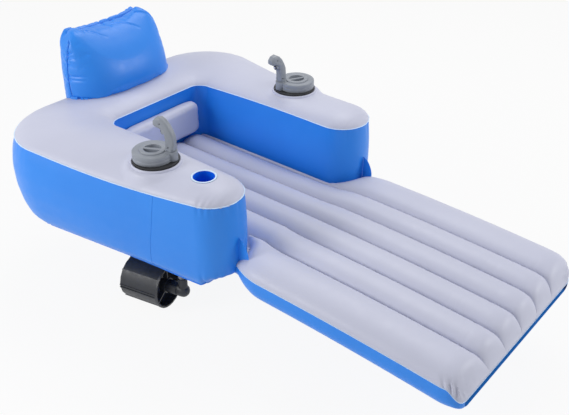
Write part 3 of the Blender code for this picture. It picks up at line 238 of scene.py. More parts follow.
def film(name, colour, deep, gloss=(0.40, 0.52), grain=0.05, coat=0.0, sheen=0.42):
    """A PVC film: tone, gloss and embossing from the shared group."""
    return surface_material(
        name, film_group,
        (("Specular IOR Level", sheen), ("Coat Weight", coat), ("Coat Roughness", 0.3)),
        (("Colour", (*colour, 1)), ("Deep colour", (*deep, 1)), ("Gloss low", gloss[0]),
         ("Gloss high", gloss[1]), ("Grain", grain)), bump_depth=0.0011, bump_strength=0.55)


pearl_film = film("pearl_film", (0.585, 0.602, 0.735), (0.555, 0.572, 0.705))


def unit(angle):
    return np.stack([np.cos(angle), np.sin(angle)], -1)


arm_x, arm_radius, seam_z = 0.365, 0.107, 0.334
back_y, well_back_y = 0.962, 0.668


def u_plan():
    """The U from the left arm's tip round the back to the right arm's: seam points, their normals,
    the crown's share and the share from arm end to back."""
    tip, tip_radius = np.array((arm_x, 0.0)), arm_radius
    back, back_radius = np.array((0.342, 0.727)), 0.235
    well, well_radius = np.array((0.195, 0.613)), 0.055

    def touching(centre, radius, side):
        across = centre - tip
        return math.atan2(across[1], across[0]) + side * math.acos((tip_radius - radius) / np.hypot(*across))

    outer_angle, inner_angle = touching(back, back_radius, -1), touching(well, -well_radius, 1)
    share = np.sin(np.linspace(0, math.pi / 2, 31))
    outer_n = [unit(-math.pi / 2 + (outer_angle + math.pi / 2) * share)]
    inner_n = [unit(-math.pi / 2 + (inner_angle - 1.5 * math.pi) * share)]
    outer, inner = [tip + tip_radius * outer_n[0]], [tip + tip_radius * inner_n[0]]
    crown = [(np.linalg.norm(outer_n[0] - inner_n[0], axis=1) / 2) ** 1.1]
    arm = [np.zeros(31)]
    share = np.linspace(0, 1, 61)[1:, None]
    start_n, end_n = unit(np.array(outer_angle)), unit(np.array(inner_angle))
    outer.append((tip + tip_radius * start_n) * (1 - share) + (back + back_radius * start_n) * share)
    inner.append((tip + tip_radius * end_n) * (1 - share) + (well - well_radius * end_n) * share)
    outer_n.append(np.repeat(start_n[None], 60, 0))
    inner_n.append(np.repeat(end_n[None], 60, 0))
    arm.append(share[:, 0])
    share = np.linspace(0, 1, 41)[1:]
    corner_n = unit(outer_angle + (math.pi / 2 - outer_angle) * share)
    well_n = unit(inner_angle - math.pi + (1.5 * math.pi - inner_angle) * share)
    outer.append(back + back_radius * corner_n)
    inner.append(well + well_radius * well_n)
    outer_n.append(corner_n)
    inner_n.append(-well_n)
    keep = np.linspace(1, 0, 31)[1:, None]
    outer.append(np.hstack([back[0] * keep, np.full_like(keep, back_y)]))
    inner.append(np.hstack([well[0] * keep, np.full_like(keep, well_back_y)]))
    outer_n.append(np.repeat([[0.0, 1.0]], 30, 0))
    inner_n.append(np.repeat([[0.0, -1.0]], 30, 0))
    crown.append(np.ones(130))
    arm.append(np.ones(70))
    half = np.hstack([np.concatenate(column) for column in (outer, outer_n, inner, inner_n)]
                     + [np.concatenate(column)[:, None] for column in (crown, arm)])
    other = half[-2::-1].copy()
    other[:, (0, 2, 4, 6)] *= -1
    return np.vstack([half, other])


plan = u_plan()
outer_run = np.linalg.norm(np.diff(plan[:, 0:2], axis=0), axis=1)
inner_run = np.linalg.norm(np.diff(plan[:, 4:6], axis=0), axis=1)
station = np.concatenate([[0], np.cumsum(np.maximum(outer_run, inner_run))])
station /= station[-1]
outer_along = np.concatenate([[0], np.cumsum(outer_run)])
inner_along = np.concatenate([[0], np.cumsum(inner_run)])


def at_station(share):
    """Outer point and normal, inner point and normal, crown and arm shares, and the runs along both seams."""
    table = np.hstack([plan, outer_along[:, None], inner_along[:, None]])
    got = np.stack([np.interp(share, station, column) for column in table.T], -1)
    for first in (2, 6):
        got[:, first:first + 2] /= np.linalg.norm(got[:, first:first + 2], axis=1)[:, None]
    return (got[:, 0:2], got[:, 2:4], got[:, 4:6], got[:, 6:8], *got[:, 8:].T)


def seam_heights(arm):
    wave = np.sin(math.pi * arm)
    return seam_z - 0.016 * wave, seam_z + 0.006 * wave


def turning(points, along):
    """How sharply a seam turns, from 0.1 where it is straight to 1 at the arm's tip."""
    headings = np.unwrap(np.arctan2(*np.diff(points, axis=0).T[::-1]))
    bend = np.abs(np.gradient(headings)) / np.maximum(np.gradient(along[:-1]), 1e-5)
    return lambda place: np.clip(np.interp(place, along[:-1], bend) / 9, 0.1, 1)


def pleat_row(length, strength, seed, deepest=0.0024, gaps=(0.02, 0.055)):
    """Pleats along a seam: place, depth, half width and reach of each."""
    random = np.random.default_rng(seed)
    places = np.cumsum(random.uniform(*gaps, int(length / gaps[0]) + 1))
    places = places[places < length]
    depths = deepest * random.uniform(0.3, 1.0, len(places)) * strength(places)
    half_widths = random.uniform(0.0035, 0.0075, len(places))
    return places, depths, half_widths, random.uniform(0.02, 0.06, len(places))


def pleat_depth(along, away, pleats):
    """How far pleats draw the film in at a run along the seam and a distance away from it."""
    total = np.zeros_like(along)
    for place, depth, width, reach in zip(*pleats):
        off = (along - place) / (width * (1 + away / reach))
        total += depth * np.exp(-off ** 2 - (away / reach) ** 1.5)
    return total


outer_pleats = pleat_row(outer_along[-1], turning(plan[:, 0:2], outer_along), 11, 0.0036)
inner_pleats = pleat_row(inner_along[-1], turning(plan[:, 4:6], inner_along), 12)


def smooth_share(value):
    value = np.clip(value, 0, 1)
    return value * value * (3 - 2 * value)


port_centres = {"right": (-0.3878, 0.2401), "left": (0.3840, 0.2522)}
cup_centre = (-arm_x, 0.034)
# Centre, rim, reach and height of the rings where collars and cup draw the sheet level.
level_rings = [(centre, 0.0915, 0.119, 0.3752) for centre in port_centres.values()]
level_rings.append((cup_centre, 0.046, 0.078, 0.3790))


def top_sheet(share, across):
    """Places the top sheet: crowned between its seams, and drawn up to the collars and the cup's rim."""
    outer, _, inner, _, crown, arm, outer_s, inner_s = at_station(share)
    across = (1 - np.cos(math.pi * across)) / 2
    spot = outer + (inner - outer) * across[:, None]
    outer_z, inner_z = seam_heights(arm)
    rise = 0.046 * crown * np.maximum(0, 1 - (2 * across - 1) ** 2) ** 0.58
    z = outer_z + (inner_z - outer_z) * across + rise + 0.0003
    width = np.linalg.norm(inner - outer, axis=1)
    z -= pleat_depth(outer_s, across * width, outer_pleats)
    z -= pleat_depth(inner_s, (1 - across) * width, inner_pleats)
    for centre, rim, reach, height in level_rings:
        away = np.hypot(spot[:, 0] - centre[0], spot[:, 1] - centre[1])
        z += (height - z) * smooth_share((reach - away) / (reach - rim))
    return np.column_stack([spot, z])


def shaped_grid(columns, rows, place, weld=1e-5):
    """An even grid of faces whose points go where place puts their shares; touching points are merged."""
    bm = bmesh.new()
    bmesh.ops.create_grid(bm, x_segments=columns, y_segments=rows, size=0.5)
    shares = np.array([v.co[:] for v in bm.verts]) + 0.5
    for vert, spot in zip(bm.verts, place(shares[:, 0], shares[:, 1])):
        vert.co = spot
    bmesh.ops.remove_doubles(bm, verts=bm.verts, dist=weld)
    bmesh.ops.dissolve_degenerate(bm, edges=bm.edges, dist=weld)
    return bm


def face_out(bm, direction=None):
    """Turns an open sheet's faces along a direction, or a ring-like one's away from its middle."""
    bm.normal_update()
    total = 0
    for face in bm.faces:
        centre = face.calc_center_median()
        towards = direction or Vector((centre.x, centre.y, 0))
        total += face.normal.dot(towards) * face.calc_area()
    if total < 0:
        bmesh.ops.reverse_faces(bm, faces=bm.faces)


def open_hole(bm, centre, radius):
    """Cuts a round hole: faces inside go, and the edge that is left moves onto the circle."""
    inside = [f for f in bm.faces if math.dist(f.calc_center_median()[:2], centre) < radius]
    rim = {v for f in inside for v in f.verts}
    bmesh.ops.delete(bm, geom=inside, context="FACES")
    for vert in rim:
        if vert.is_valid and vert.is_boundary:
            out = (Vector(vert.co[:2]) - Vector(centre)).normalized() * radius
            vert.co.x, vert.co.y = centre[0] + out.x, centre[1] + out.y


def film_thickness(bm, thickness=0.0009):
    """Gives a sheet its wall, on the side away from its faces' normals; in a tight fold it stays close."""
    bm.normal_update()
    outside = [(vert.co.copy(), vert.normal.copy()) for vert in bm.verts]
    nearest = KDTree(len(outside))
    for index, (spot, _) in enumerate(outside):
        nearest.insert(spot, index)
    nearest.balance()
    bmesh.ops.solidify(bm, geom=bm.faces[:], thickness=thickness)
    for vert in bm.verts:
        spot, index, away = nearest.find(vert.co)
        if away > 1.8 * thickness:
            vert.co = spot - outside[index][1] * thickness


def finish(bm, name, material, body="float", replaces=(), crease=0.7):
    """Makes a piece of a bmesh, smooth but where it bends by more than crease, riding on its body."""
    bm.normal_update()
    for face in bm.faces:
        face.smooth = True
    for edge in bm.edges:
        if len(edge.link_faces) == 2 and edge.calc_face_angle(0) > crease:
            edge.smooth = False
    piece = in_scene(bm, name)
    piece.data.materials.append(material)
    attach(piece, body)
    if replaces:
        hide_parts(*replaces)
    return piece


def closer_at_arm_ends(share):
    return 0.5 * share + 0.25 * (1 - np.cos(math.pi * share))


sheet = shaped_grid(520, 36, lambda share, across: top_sheet(closer_at_arm_ends(share), across))
face_out(sheet, Vector((0, 0, 1)))
for centre in port_centres.values():
    open_hole(sheet, centre, 0.0895)
open_hole(sheet, cup_centre, 0.0442)
crown_surface = BVHTree.FromBMesh(sheet)
film_thickness(sheet)
finish(sheet, "ring_top_film", pearl_film, replaces=["ring_top_panel"])


# Air chamber's walls and underside: blue PVC film. Each wall is a strip welded to the top sheet
# above and to the flat bottom sheet below; it bulges along the arms and gathers at the arms' ends.
blue_film = film("blue_film", (0.022, 0.262, 0.88), (0.017, 0.230, 0.82), gloss=(0.36, 0.46), coat=0.1)

height_shares = np.array((0.0, 0.03, 0.08, 0.24, 0.45, 0.68, 0.87, 1.0))
bulge_shares = np.array((-1.0, -0.62, -0.15, 0.5, 0.95, 1.0, 0.6, 0.0))
profile_z = np.linspace(0, 1, 121)
profile = np.interp(profile_z, height_shares, bulge_shares)
for _ in range(30):
    profile[1:-1] = (profile[:-2] + 2 * profile[1:-1] + profile[2:]) / 4
outer_low_pleats = pleat_row(outer_along[-1], turning(plan[:, 0:2], outer_along), 13, 0.0085, (0.016, 0.045))
inner_low_pleats = pleat_row(inner_along[-1], turning(plan[:, 4:6], inner_along), 14, 0.003)


def bottom_seam(normal, arm):
    """How far the bottom seam is drawn in and lifted: most at the front of an arm's end."""
    front = np.clip(-normal[:, 1], 0, 1) ** 0.9
    near_end = np.exp(-(arm / 0.25) ** 2)
    return 0.030 + (0.055 * front - 0.024) * near_end, 0.028 * front * near_end


def wall_places(round_share, down, grow=0.0):
    """Places the walls: round_share goes once round the outline, and down from top to bottom seam."""
    outside = round_share <= 0.5
    share = np.where(outside, 2 * round_share, 2 - 2 * round_share)
    outer, outer_n, inner, inner_n, _, arm, outer_s, inner_s = at_station(share)
    outer_z, inner_z = seam_heights(arm)
    point = np.where(outside[:, None], outer, inner)
    normal = np.where(outside[:, None], outer_n, inner_n)
    seam = np.where(outside, outer_z, inner_z)
    full = smooth_share(arm)
    bulge = np.where(outside, 0.007 + 0.019 * full, 0.007 - 0.007 * full + 0.004 * np.sin(math.pi * arm))
    drawn, lift = bottom_seam(normal, arm)
    down = down + 0.055 * np.sin(2 * math.pi * down)
    out = np.interp(1 - down, profile_z, profile)
    out = np.where(out < 0, drawn * out, bulge * out)
    high, low = down * seam, (1 - down) * seam
    for away, outer_row, inner_row in ((high, outer_pleats, inner_pleats),
                                       (low, outer_low_pleats, inner_low_pleats)):
        out -= np.where(outside, pleat_depth(outer_s, away, outer_row), pleat_depth(inner_s, away, inner_row))
    spot = point + normal * (out + grow)[:, None]
    return np.column_stack([spot, low + lift * down ** 3 + 0.0006])


def closer_at_both_ends(around):
    return around - 0.04 * np.sin(4 * math.pi * around)


walls = shaped_grid(980, 34, lambda around, down: wall_places(closer_at_both_ends(around), down))
face_out(walls)
film_thickness(walls)
finish(walls, "ring_wall_film", blue_film, replaces=["ring_chamber"])


def under_sheet(share, across):
    outer, outer_n, inner, inner_n, _, arm, outer_s, inner_s = at_station(share)
    (outer_drawn, lift), (inner_drawn, _) = bottom_seam(outer_n, arm), bottom_seam(inner_n, arm)
    across = (1 - np.cos(math.pi * across))[:, None] / 2
    spot = ((outer - outer_n * (outer_drawn + 0.0006)[:, None]) * (1 - across)
            + (inner - inner_n * (inner_drawn + 0.0006)[:, None]) * across)
    return np.column_stack([spot, 0.0012 + lift])


underside = shaped_grid(300, 14, under_sheet)
face_out(underside, Vector((0, 0, -1)))
for centre in port_centres.values():
    open_hole(underside, centre, 0.0796)
film_thickness(underside)
finish(underside, "ring_bottom_film", blue_film)


# Welds: where two films meet, the machine leaves a narrow pressed lip that stands out from the seam and
# catches the light, and a lapped strip where a wall's two ends join. The lip film's pale cyan-white colour,
# brighter than either film it joins, is a painted highlight along the seam.
weld_film_painted_highlight = film("weld_lip", (0.68, 0.84, 1.0), (0.62, 0.79, 1.0), gloss=(0.3, 0.4), coat=0.2)


def lip(points, outward, half_width, half_height, closed=True):
    """A flattened tube along points, pressed thin across its outward direction."""
    points = np.asarray(points)
    outward = np.asarray(outward)
    runs = np.linalg.norm(np.diff(points, axis=0), axis=1)
    place = np.concatenate([[0], np.cumsum(runs)]) / runs.sum()
    rows = max(12, int(runs.sum() / 0.006))

    def around(turn, share):
        spot = np.stack([np.interp(share, place, column) for column in points.T], -1)
        out = np.stack([np.interp(share, place, column) for column in outward.T], -1)
        ahead = np.stack([np.interp(share, place, column) for column in np.gradient(points, axis=0).T], -1)
        ahead /= np.linalg.norm(ahead, axis=1)[:, None]
        out -= ahead * (out * ahead).sum(1)[:, None]
        out /= np.linalg.norm(out, axis=1)[:, None]
        up = np.cross(ahead, out)
        angle = 2 * math.pi * turn
        return (spot + out * (half_width * np.cos(angle))[:, None]
                + up * (half_height * np.sin(angle))[:, None])

    bm = shaped_grid(8, rows, around)
    if not closed:
        bmesh.ops.holes_fill(bm, edges=bm.edges, sides=12)
    bmesh.ops.recalc_face_normals(bm, faces=bm.faces)
    return bm


def seam_line(down, proud):
    """The line where the walls meet the top or bottom sheet, once round, and its outward directions."""
    around = np.linspace(0, 1, 1881)
    spots = wall_places(around, np.full_like(around, down))
    outer, outer_n, inner, inner_n, *_ = at_station(np.where(around <= 0.5, 2 * around, 2 - 2 * around))
    out = np.where((around <= 0.5)[:, None], outer_n, inner_n)
    out = np.column_stack([out, np.zeros(len(out))])
    return spots + out * proud, out


# The top seam's lip in the pale weld film, whose colour is a painted highlight along the seam.
points, out = seam_line(0, 0.0006)
finish(lip(points + (0, 0, 0.0004), out, 0.0027, 0.0013), "top_seam_lip", weld_film_painted_highlight, crease=3)
points, out = seam_line(1, 0.0010)
finish(lip(points + (0, 0, 0.0008), out, 0.0024, 0.0008), "bottom_seam_lip", blue_film,
       crease=3)


def wall_strip(name, middle, lean=0.0, width=0.009):
    """A lapped vertical joint: a strip of film lying on the wall, 0.7 mm proud."""
    def place(across, down):
        round_share = middle + lean * (0.5 - down) + (across - 0.5) * width / 2.9
        return wall_places(round_share, 0.012 + 0.976 * down, 0.0007)

    strip = shaped_grid(4, 60, place)
    face_out(strip)
    film_thickness(strip, 0.0006)
    finish(strip, name, blue_film)


for name, middle, lean in (("right_wall_joint", 0.4445, 0.006), ("left_wall_joint", 0.0555, -0.006),
                           ("well_joint_left", 0.828, 0.0), ("well_joint_right", 0.672, 0.0)):
    wall_strip(name, middle, lean)


# Leg mat and seat: a quilted pearl top sheet welded in five long lines to the sheet below, so that
# six air channels swell between them; they close in rounded ends at the foot, arms and well.
def blend(low, high, share):
    return low + (high - low) * share


foot_y, mat_back_y, mat_half = -0.985, 0.680, 0.409
quilt_z, base_z = 0.086, 0.012


def mat_drop(y):
    """The mat's whole foot end bends down, away from the arms."""
    return 0.036 * (np.maximum(0, -0.0925 - y) / 0.8925) ** 2


def foot_fall(y):
    """0 along the mat, and 1 at its foot, where the side seam runs down."""
    return smooth_share(1 - (y - foot_y) / 0.05)


def mat_run(along):
    """The place along the mat, with closer rows at the foot and the well's back."""
    return blend(foot_y, mat_back_y, along - 0.08 * np.sin(2 * math.pi * along))


def arm_taper(y):
    """0 along the mat, and 1 where its side is drawn in and up to meet the arm's end."""
    return np.clip((y + 0.235) / 0.12, 0, 1) ** 2


def mat_seam(y):
    high, low = quilt_z - mat_drop(y), base_z - mat_drop(y)
    return blend(high, blend(low, high, 0.4), foot_fall(y))


def mat_half_width(y):
    corner = 0.075
    inside = np.clip(corner - (y - foot_y), 0, corner)
    return mat_half - 0.6 * (corner - np.sqrt(corner ** 2 - inside ** 2)) - 0.032 * arm_taper(y)


def roll_share(distance, length):
    return np.sqrt(1 - (1 - np.clip(distance / length, 0, 1)) ** 2)


def channel_end(x):
    """Where a channel stops: at the well's back wall, or at the round end of an arm."""
    off = np.clip(np.abs(np.abs(x) - arm_x), 0, arm_radius)
    return np.where(np.abs(x) < 0.258, well_back_y, -np.sqrt(arm_radius ** 2 - off ** 2))


def valley_rise(index, y):
    sunk = 0.008 * smooth_share(-y / 0.2)
    return np.select([index < 2, index == 2], [0.008, sunk], 0.0)


weld_puckers = [pleat_row(1.66, lambda place: np.ones_like(place), 30 + k, 0.0011, (0.018, 0.05))
                for k in range(6)]
foot_folds = (np.array((0.0, 0.017, 0.034, 0.055)), np.array((0.0045, 0.0070, 0.0070, 0.0040)),
              np.full(4, 0.0036), np.full(4, 0.030))
bounds = np.array((0, 0.1215, 0.243, mat_half))


def mat_top_places(across, along):
    """Places the quilted sheet: across runs over six channels, along from the foot to the well's back."""
    wide = across * 2 - 1
    side, place = np.sign(wide), np.abs(wide)
    rim = 0.965
    lane = np.minimum(place / rim, 1) * 3
    channel = np.minimum(lane.astype(int), 2)
    share = (1 - np.cos(math.pi * (lane - channel))) / 2
    x = blend(bounds[channel], bounds[channel + 1], share)
    y = mat_run(along)
    half, seam, flat = mat_half_width(y), mat_seam(y), quilt_z - mat_drop(y)
    middle = 1 - (2 * share - 1) ** 2
    crown = np.where(channel == 2, 0.045, 0.040)
    rise = (blend(valley_rise(channel, y), valley_rise(channel + 1, y), share)
            + crown * np.maximum(0, middle) ** 0.5)
    run = y - foot_y
    full = roll_share(channel_end(x) - y, 0.055) * roll_share(run, 0.085)
    for k in range(3):
        near = np.abs(x - bounds[k])
        rise -= pleat_depth(run, near, weld_puckers[k]) * (near < 0.06)
    z = blend(seam, flat + rise, full) + 0.0025
    x = x * half / mat_half
    edge = np.maximum(half - x, 0)
    fold = pleat_depth(np.abs(run - edge), np.minimum(edge, run), foot_folds)
    fold = fold * (run < 0.16) * (edge < 0.12) * (1 - smooth_share((place - rim) / (1 - rim)))
    z -= 0.6 * fold
    x -= fold * np.exp(-edge / 0.03)
    y = y + fold * np.exp(-run / 0.03) * (1 - np.exp(-run / 0.004))
    z = np.where(place > rim, blend(z, seam, smooth_share((place - rim) / (1 - rim))), z)
    return np.column_stack([side * x, y, z])


quilt = shaped_grid(126, 300, mat_top_places)
face_out(quilt, Vector((0, 0, 1)))
film_thickness(quilt)


def ring_room(grow):
    """The air chamber's outside as a solid, a little larger, to trim what is fitted against it."""
    bm = shaped_grid(420, 18, lambda around, down: wall_places(around, down, grow))
    for height in (0.05, -0.05):
        edges = [e for e in bm.edges if e.is_boundary and (e.verts[0].co.z > 0.17) == (height > 0)]
        made = bmesh.ops.extrude_edge_only(bm, edges=edges)["geom"]
        corners = [g for g in made if isinstance(g, bmesh.types.BMVert)]
        bmesh.ops.translate(bm, verts=corners, vec=(0, 0, height))
    edges = [e for e in bm.edges if e.is_boundary]
    bmesh.ops.triangle_fill(bm, edges=edges, use_beauty=True)
    bmesh.ops.recalc_face_normals(bm, faces=bm.faces)
    return in_scene(bm, "ring_room")


def trimmed(bm, room):
    """What is left of a closed bmesh outside the room, as a bmesh again."""
    piece = in_scene(bm, "untrimmed")
    trim = piece.modifiers.new("trim", "BOOLEAN")
    trim.operation = "DIFFERENCE"
    trim.solver = "EXACT"
    trim.object = room
    bpy.context.view_layer.update()
    result = bmesh.new()
    result.from_object(piece, bpy.context.evaluated_depsgraph_get())
    bpy.data.objects.remove(piece)
    bmesh.ops.remove_doubles(result, verts=result.verts, dist=5e-6)
    return result


room = ring_room(0.0012)
finish(trimmed(quilt, room), "mat_quilted_film", pearl_film, replaces=["mat_top_panel"])


# Mat's base: a blue band round the mat's sides and its flat bottom, one film welded to the
# quilted sheet along the side seam, which runs down to the bottom across the foot. On the left it
# is drawn in under the valve's flange.
valve_y, valve_z, under_valve_x = -0.52, 0.045, 0.4042


def mat_base_places(across, along):
    wide = across * 2 - 1
    side, place = np.sign(wide), np.abs(wide)
    y = mat_run(along)
    half, seam = mat_half_width(y), mat_seam(y) - 0.0006
    low = base_z - mat_drop(y) + 0.03 * arm_taper(y)
    up = np.clip((place - 0.8) / 0.2, 0, 1)
    bulge = 0.004 * np.sin(math.pi * np.clip(up * 1.05, 0, 1)) - 0.018 * (1 - up) ** 3
    x = np.where(place < 0.8, (half - 0.018) * place / 0.8, half + bulge)
    z = np.where(place < 0.8, low, blend(low, seam, up ** 1.25))
    run = y - foot_y
    z = z - 0.3 * pleat_depth(run, seam - z, weld_puckers[4]) * (place > 0.8)
    x = x - pleat_depth(run, seam - z, weld_puckers[5]) * (place > 0.8) * 0.8
    at_valve = np.exp(-(np.hypot(y - valve_y, z - valve_z) / 0.026) ** 6) * (wide > 0.8)
    x = blend(x, under_valve_x, at_valve)
    return np.column_stack([side * x, y, z])


band = shaped_grid(90, 220, mat_base_places)
face_out(band, Vector((0, 0, -1)))
film_thickness(band)
finish(trimmed(band, room), "mat_base_film", blue_film, replaces=["mat_base"])

rim_y = blend(foot_y, 0.0, np.linspace(0, 1, 260))
right_rim = np.column_stack([-mat_half_width(rim_y), rim_y, mat_seam(rim_y)])
left_rim = right_rim * (-1, 1, 1)
foot_end = np.array(foot_y)
foot_x = np.linspace(-1, 1, 60)[1:-1] * mat_half_width(foot_end)
foot_line = np.column_stack([foot_x, np.full(58, foot_y), np.full(58, float(mat_seam(foot_end)))])
rim = np.vstack([right_rim[::-1], foot_line, left_rim])
rim_out = np.vstack([np.repeat([towards], len(line), 0) for towards, line in (
    ((-1.0, -0.05, 0.0), right_rim), ((0.0, -1.0, 0.0), foot_line), ((1.0, -0.05, 0.0), left_rim))])
# The mat's seam lip in the pale weld film, whose colour is a painted highlight along the seam.
mat_lip = lip(rim + (0, 0, 0.0006), rim_out, 0.0018, 0.0009, closed=False)
finish(trimmed(mat_lip, room), "mat_seam_lip", weld_film_painted_highlight, crease=3)


# Headrest pillow: a blue film bag, welded round its front panel, up one side, over the top and
# down the other, and to the top sheet at its foot; the welds pucker where they are drawn round.
def inflated(bm, name, cap, size=0.006, pressure=4.0, frames=20):
    """Swells a closed bmesh as air does, by cloth simulation, moving no point further than the cap."""
    bag = in_scene(bm, name + "_bag")
    remesh = bag.modifiers.new("even", "REMESH")
    remesh.mode = "VOXEL"
    remesh.voxel_size = size
    bpy.context.view_layer.update()
    start = bpy.data.meshes.new_from_object(bag.evaluated_get(bpy.context.evaluated_depsgraph_get()))
    bag.modifiers.clear()
    bag.data = start
    rest = np.array([v.co[:] for v in start.vertices])
    cloth = bag.modifiers.new("air", "CLOTH")
    cloth.settings.use_pressure = True
    cloth.settings.uniform_pressure_force = pressure
    cloth.settings.effector_weights.gravity = 0
    for step in range(1, frames + 1):
        bpy.context.scene.frame_set(step)
    swollen = bag.evaluated_get(bpy.context.evaluated_depsgraph_get()).to_mesh()
    moved = np.array([v.co[:] for v in swollen.vertices]) - rest
    bpy.context.scene.frame_set(1)
    bag.modifiers.clear()
    far = np.maximum(np.linalg.norm(moved, axis=1), 1e-9)
    rest = rest + moved * np.minimum(1, cap / far)[:, None]
    result = bmesh.new()
    result.from_mesh(start)
    for vert, spot in zip(result.verts, rest):
        vert.co = spot
    bmesh.ops.smooth_vert(result, verts=result.verts, factor=0.5, use_axis_x=True, use_axis_y=True,
                          use_axis_z=True)
    bpy.data.objects.remove(bag)
    return result


def along_pillow(height, foot, middle, top):
    """A parabola through a value at the foot, halfway up and at the top."""
    return (foot * (1 - height) * (1 - 2 * height) + 4 * middle * height * (1 - height)
            + top * height * (2 * height - 1))


# Half width, and y of front and back, each at the pillow's foot, halfway up and at the top.
pillow_halves, pillow_fronts = (0.25, 0.235, 0.229), (0.772, 0.773, 0.905)
pillow_backs = (0.955, 0.987, 0.969)


def pillow_places(around, height, inset=0.0):
    """Places the pillow's side film: around from the left end past the back, height from foot to top."""
    round_over = 0.5 * math.pi * np.clip((height - 0.8) / 0.2, 0, 1)
    straight = np.minimum(height, 0.8)
    turned_in = 1 - np.cos(round_over)
    half = along_pillow(straight, *pillow_halves) - inset - 0.03 * turned_in
    over = round_over / (0.5 * math.pi)
    front = along_pillow(straight, *pillow_fronts) + inset + over * (0.093 + 0.007 * over)
    back = along_pillow(straight, *pillow_backs) - inset - 0.012 * turned_in
    seam = np.clip(back + inset - 0.083, front + 0.004, back - 0.004)
    angle = 2 * math.pi * around
    c, s = np.cos(angle), np.sin(angle)
    bow = np.where(s < 0, blend(0.86, 0.56, straight), 0.3)
    x = half * np.sign(c) * np.abs(c) ** bow
    y = np.where(s < 0, seam - (seam - front) * np.abs(s) ** bow, seam + (back - seam) * np.abs(s) ** bow)
    z = 0.335 + 0.287 * straight + 0.059 * np.sin(round_over)
    side = np.clip(np.abs(x) / half, 0, 1)
    z = z + height ** 3 * (0.022 - 0.034 * (1 - side ** 2) - 0.04 * (np.maximum(0, side - 0.84) / 0.16) ** 2)
    return np.column_stack([x, y, z])


pillow = shaped_grid(140, 52, lambda around, height: pillow_places(around, height, 0.004))
bmesh.ops.holes_fill(pillow, edges=pillow.edges, sides=150)
bmesh.ops.recalc_face_normals(pillow, faces=pillow.faces)
pillow = inflated(pillow, "pillow", 0.009)


def rest_on_crown(bm, gap=0.0008):
    """Lifts what would sink into the top sheet onto it."""
    for vert in bm.verts:
        hit = crown_surface.ray_cast(Vector((vert.co.x, vert.co.y, 0.5)), Vector((0, 0, -1)))[0]
        if hit is not None and vert.co.z < hit.z + gap:
            vert.co.z = hit.z + gap


rest_on_crown(pillow)


def groove(bm, line, depth, width, puckers=None, reach=0.05):
    """Draws a surface in along a line of points, with short creases running off it."""
    line = np.asarray(line)
    runs = np.concatenate([[0], np.cumsum(np.linalg.norm(np.diff(line, axis=0), axis=1))])
    bm.normal_update()
    spots = np.array([v.co[:] for v in bm.verts])
    near = np.full(len(spots), 9.0)
    along = np.zeros(len(spots))
    for spot, run in zip(line, runs):
        away = np.linalg.norm(spots - spot, axis=1)
        closer = away < near
        near[closer], along[closer] = away[closer], run
    depth = depth if np.isscalar(depth) else np.interp(along, runs, depth)
    drawn = depth * np.exp(-(near / width) ** 2)
    if puckers is not None:
        drawn += pleat_depth(along, near, puckers) * (near < 2.5 * reach)
    for vert, move in zip(bm.verts, drawn):
        if move > 1e-5:
            vert.co -= vert.normal * float(move)


def on_pillow(around, height):
    """Points on the swollen pillow and their outward directions."""
    spots = pillow_places(np.asarray(around), np.asarray(height))
    found = [onto_pillow.find_nearest(Vector(spot)) for spot in spots]
    return np.array([hit[0][:] for hit in found]), np.array([hit[1][:] for hit in found])


bmesh.ops.subdivide_edges(pillow, edges=pillow.edges[:], cuts=1, use_grid_fill=True, smooth=0.4)
onto_pillow = BVHTree.FromBMesh(pillow)
side_heights = np.linspace(0.1, 0.93, 80)
left_seam, left_out = on_pillow(np.full(80, 0.5), side_heights)
across_top = np.linspace(-0.86, 0.86, 160) * left_seam[-1, 0] * -1
top_hits = [onto_pillow.ray_cast(Vector((x, 0.945, 0.8)), Vector((0, 0, -1))) for x in across_top]
panel_seam = np.vstack([left_seam, [hit[0][:] for hit in top_hits], left_seam[::-1] * (-1, 1, 1)])
panel_out = np.vstack([left_out, [hit[1][:] for hit in top_hits], left_out[::-1] * (-1, 1, 1)])
pillow_puckers = pleat_row(1.3, lambda place: np.ones_like(place), 41, 0.005, (0.03, 0.075))
groove(pillow, panel_seam, 0.0045, 0.0045, pillow_puckers)
for first, second, depth in (
        ((0.5, 0.80), (0.56, 0.80), 0.006), ((0.5, 0.73), (0.545, 0.735), 0.004),
        ((0.5, 0.46), (0.60, 0.47), 0.005), ((0.5, 0.41), (0.59, 0.415), 0.004),
        ((0.5, 0.12), (0.62, 0.07), 0.009), ((0.66, 0.95), (0.675, 0.90), 0.004),
        ((0.688, 0.95), (0.735, 0.84), 0.006), ((0.752, 0.95), (0.80, 0.82), 0.006),
        ((0.836, 0.95), (0.925, 0.83), 0.006), ((1.0, 0.62), (0.93, 0.66), 0.004),
        ((1.0, 0.2), (0.9, 0.12), 0.006)):
    share = np.linspace(0, 1, 40)
    crease, _ = on_pillow(blend(first[0], second[0], share), blend(first[1], second[1], share))
    groove(pillow, crease, depth * (1 - share) ** 0.7, 0.0045)
pillow_piece = finish(pillow, "headrest_pillow_film", blue_film, replaces=["headrest_pillow"])
pillow_lip = lip(panel_seam - panel_out * 0.0022, panel_out, 0.0016, 0.0011, closed=False)
finish(pillow_lip, "pillow_seam_lip", blue_film, crease=3)


# Lumbar pad: a small flat bag of pearl film welded to the well's back wall.
pad_half_width, pad_half_height, pad_middle_z = 0.2035, 0.074, 0.2135
pad_root_y, pad_thickness, corner_power = 0.664, 0.046, 0.28


def lumbar_places(around, depth):
    steps = (0, 0.2, 0.4, 0.6, 0.8, 1)
    inset = pad_thickness * np.interp(depth, steps, (0.015, 0.0, 0.03, 0.12, 0.28, 0.5))
    out = pad_thickness * np.interp(depth, steps, (0.0, 0.32, 0.62, 0.84, 0.95, 1.0))
    angle = 2 * math.pi * around
    c, s = np.cos(angle), np.sin(angle)
    x = (pad_half_width - inset) * np.sign(c) * np.abs(c) ** corner_power
    z = pad_middle_z + (pad_half_height - inset) * np.sign(s) * np.abs(s) ** corner_power
    return np.column_stack([x, pad_root_y - out, z])


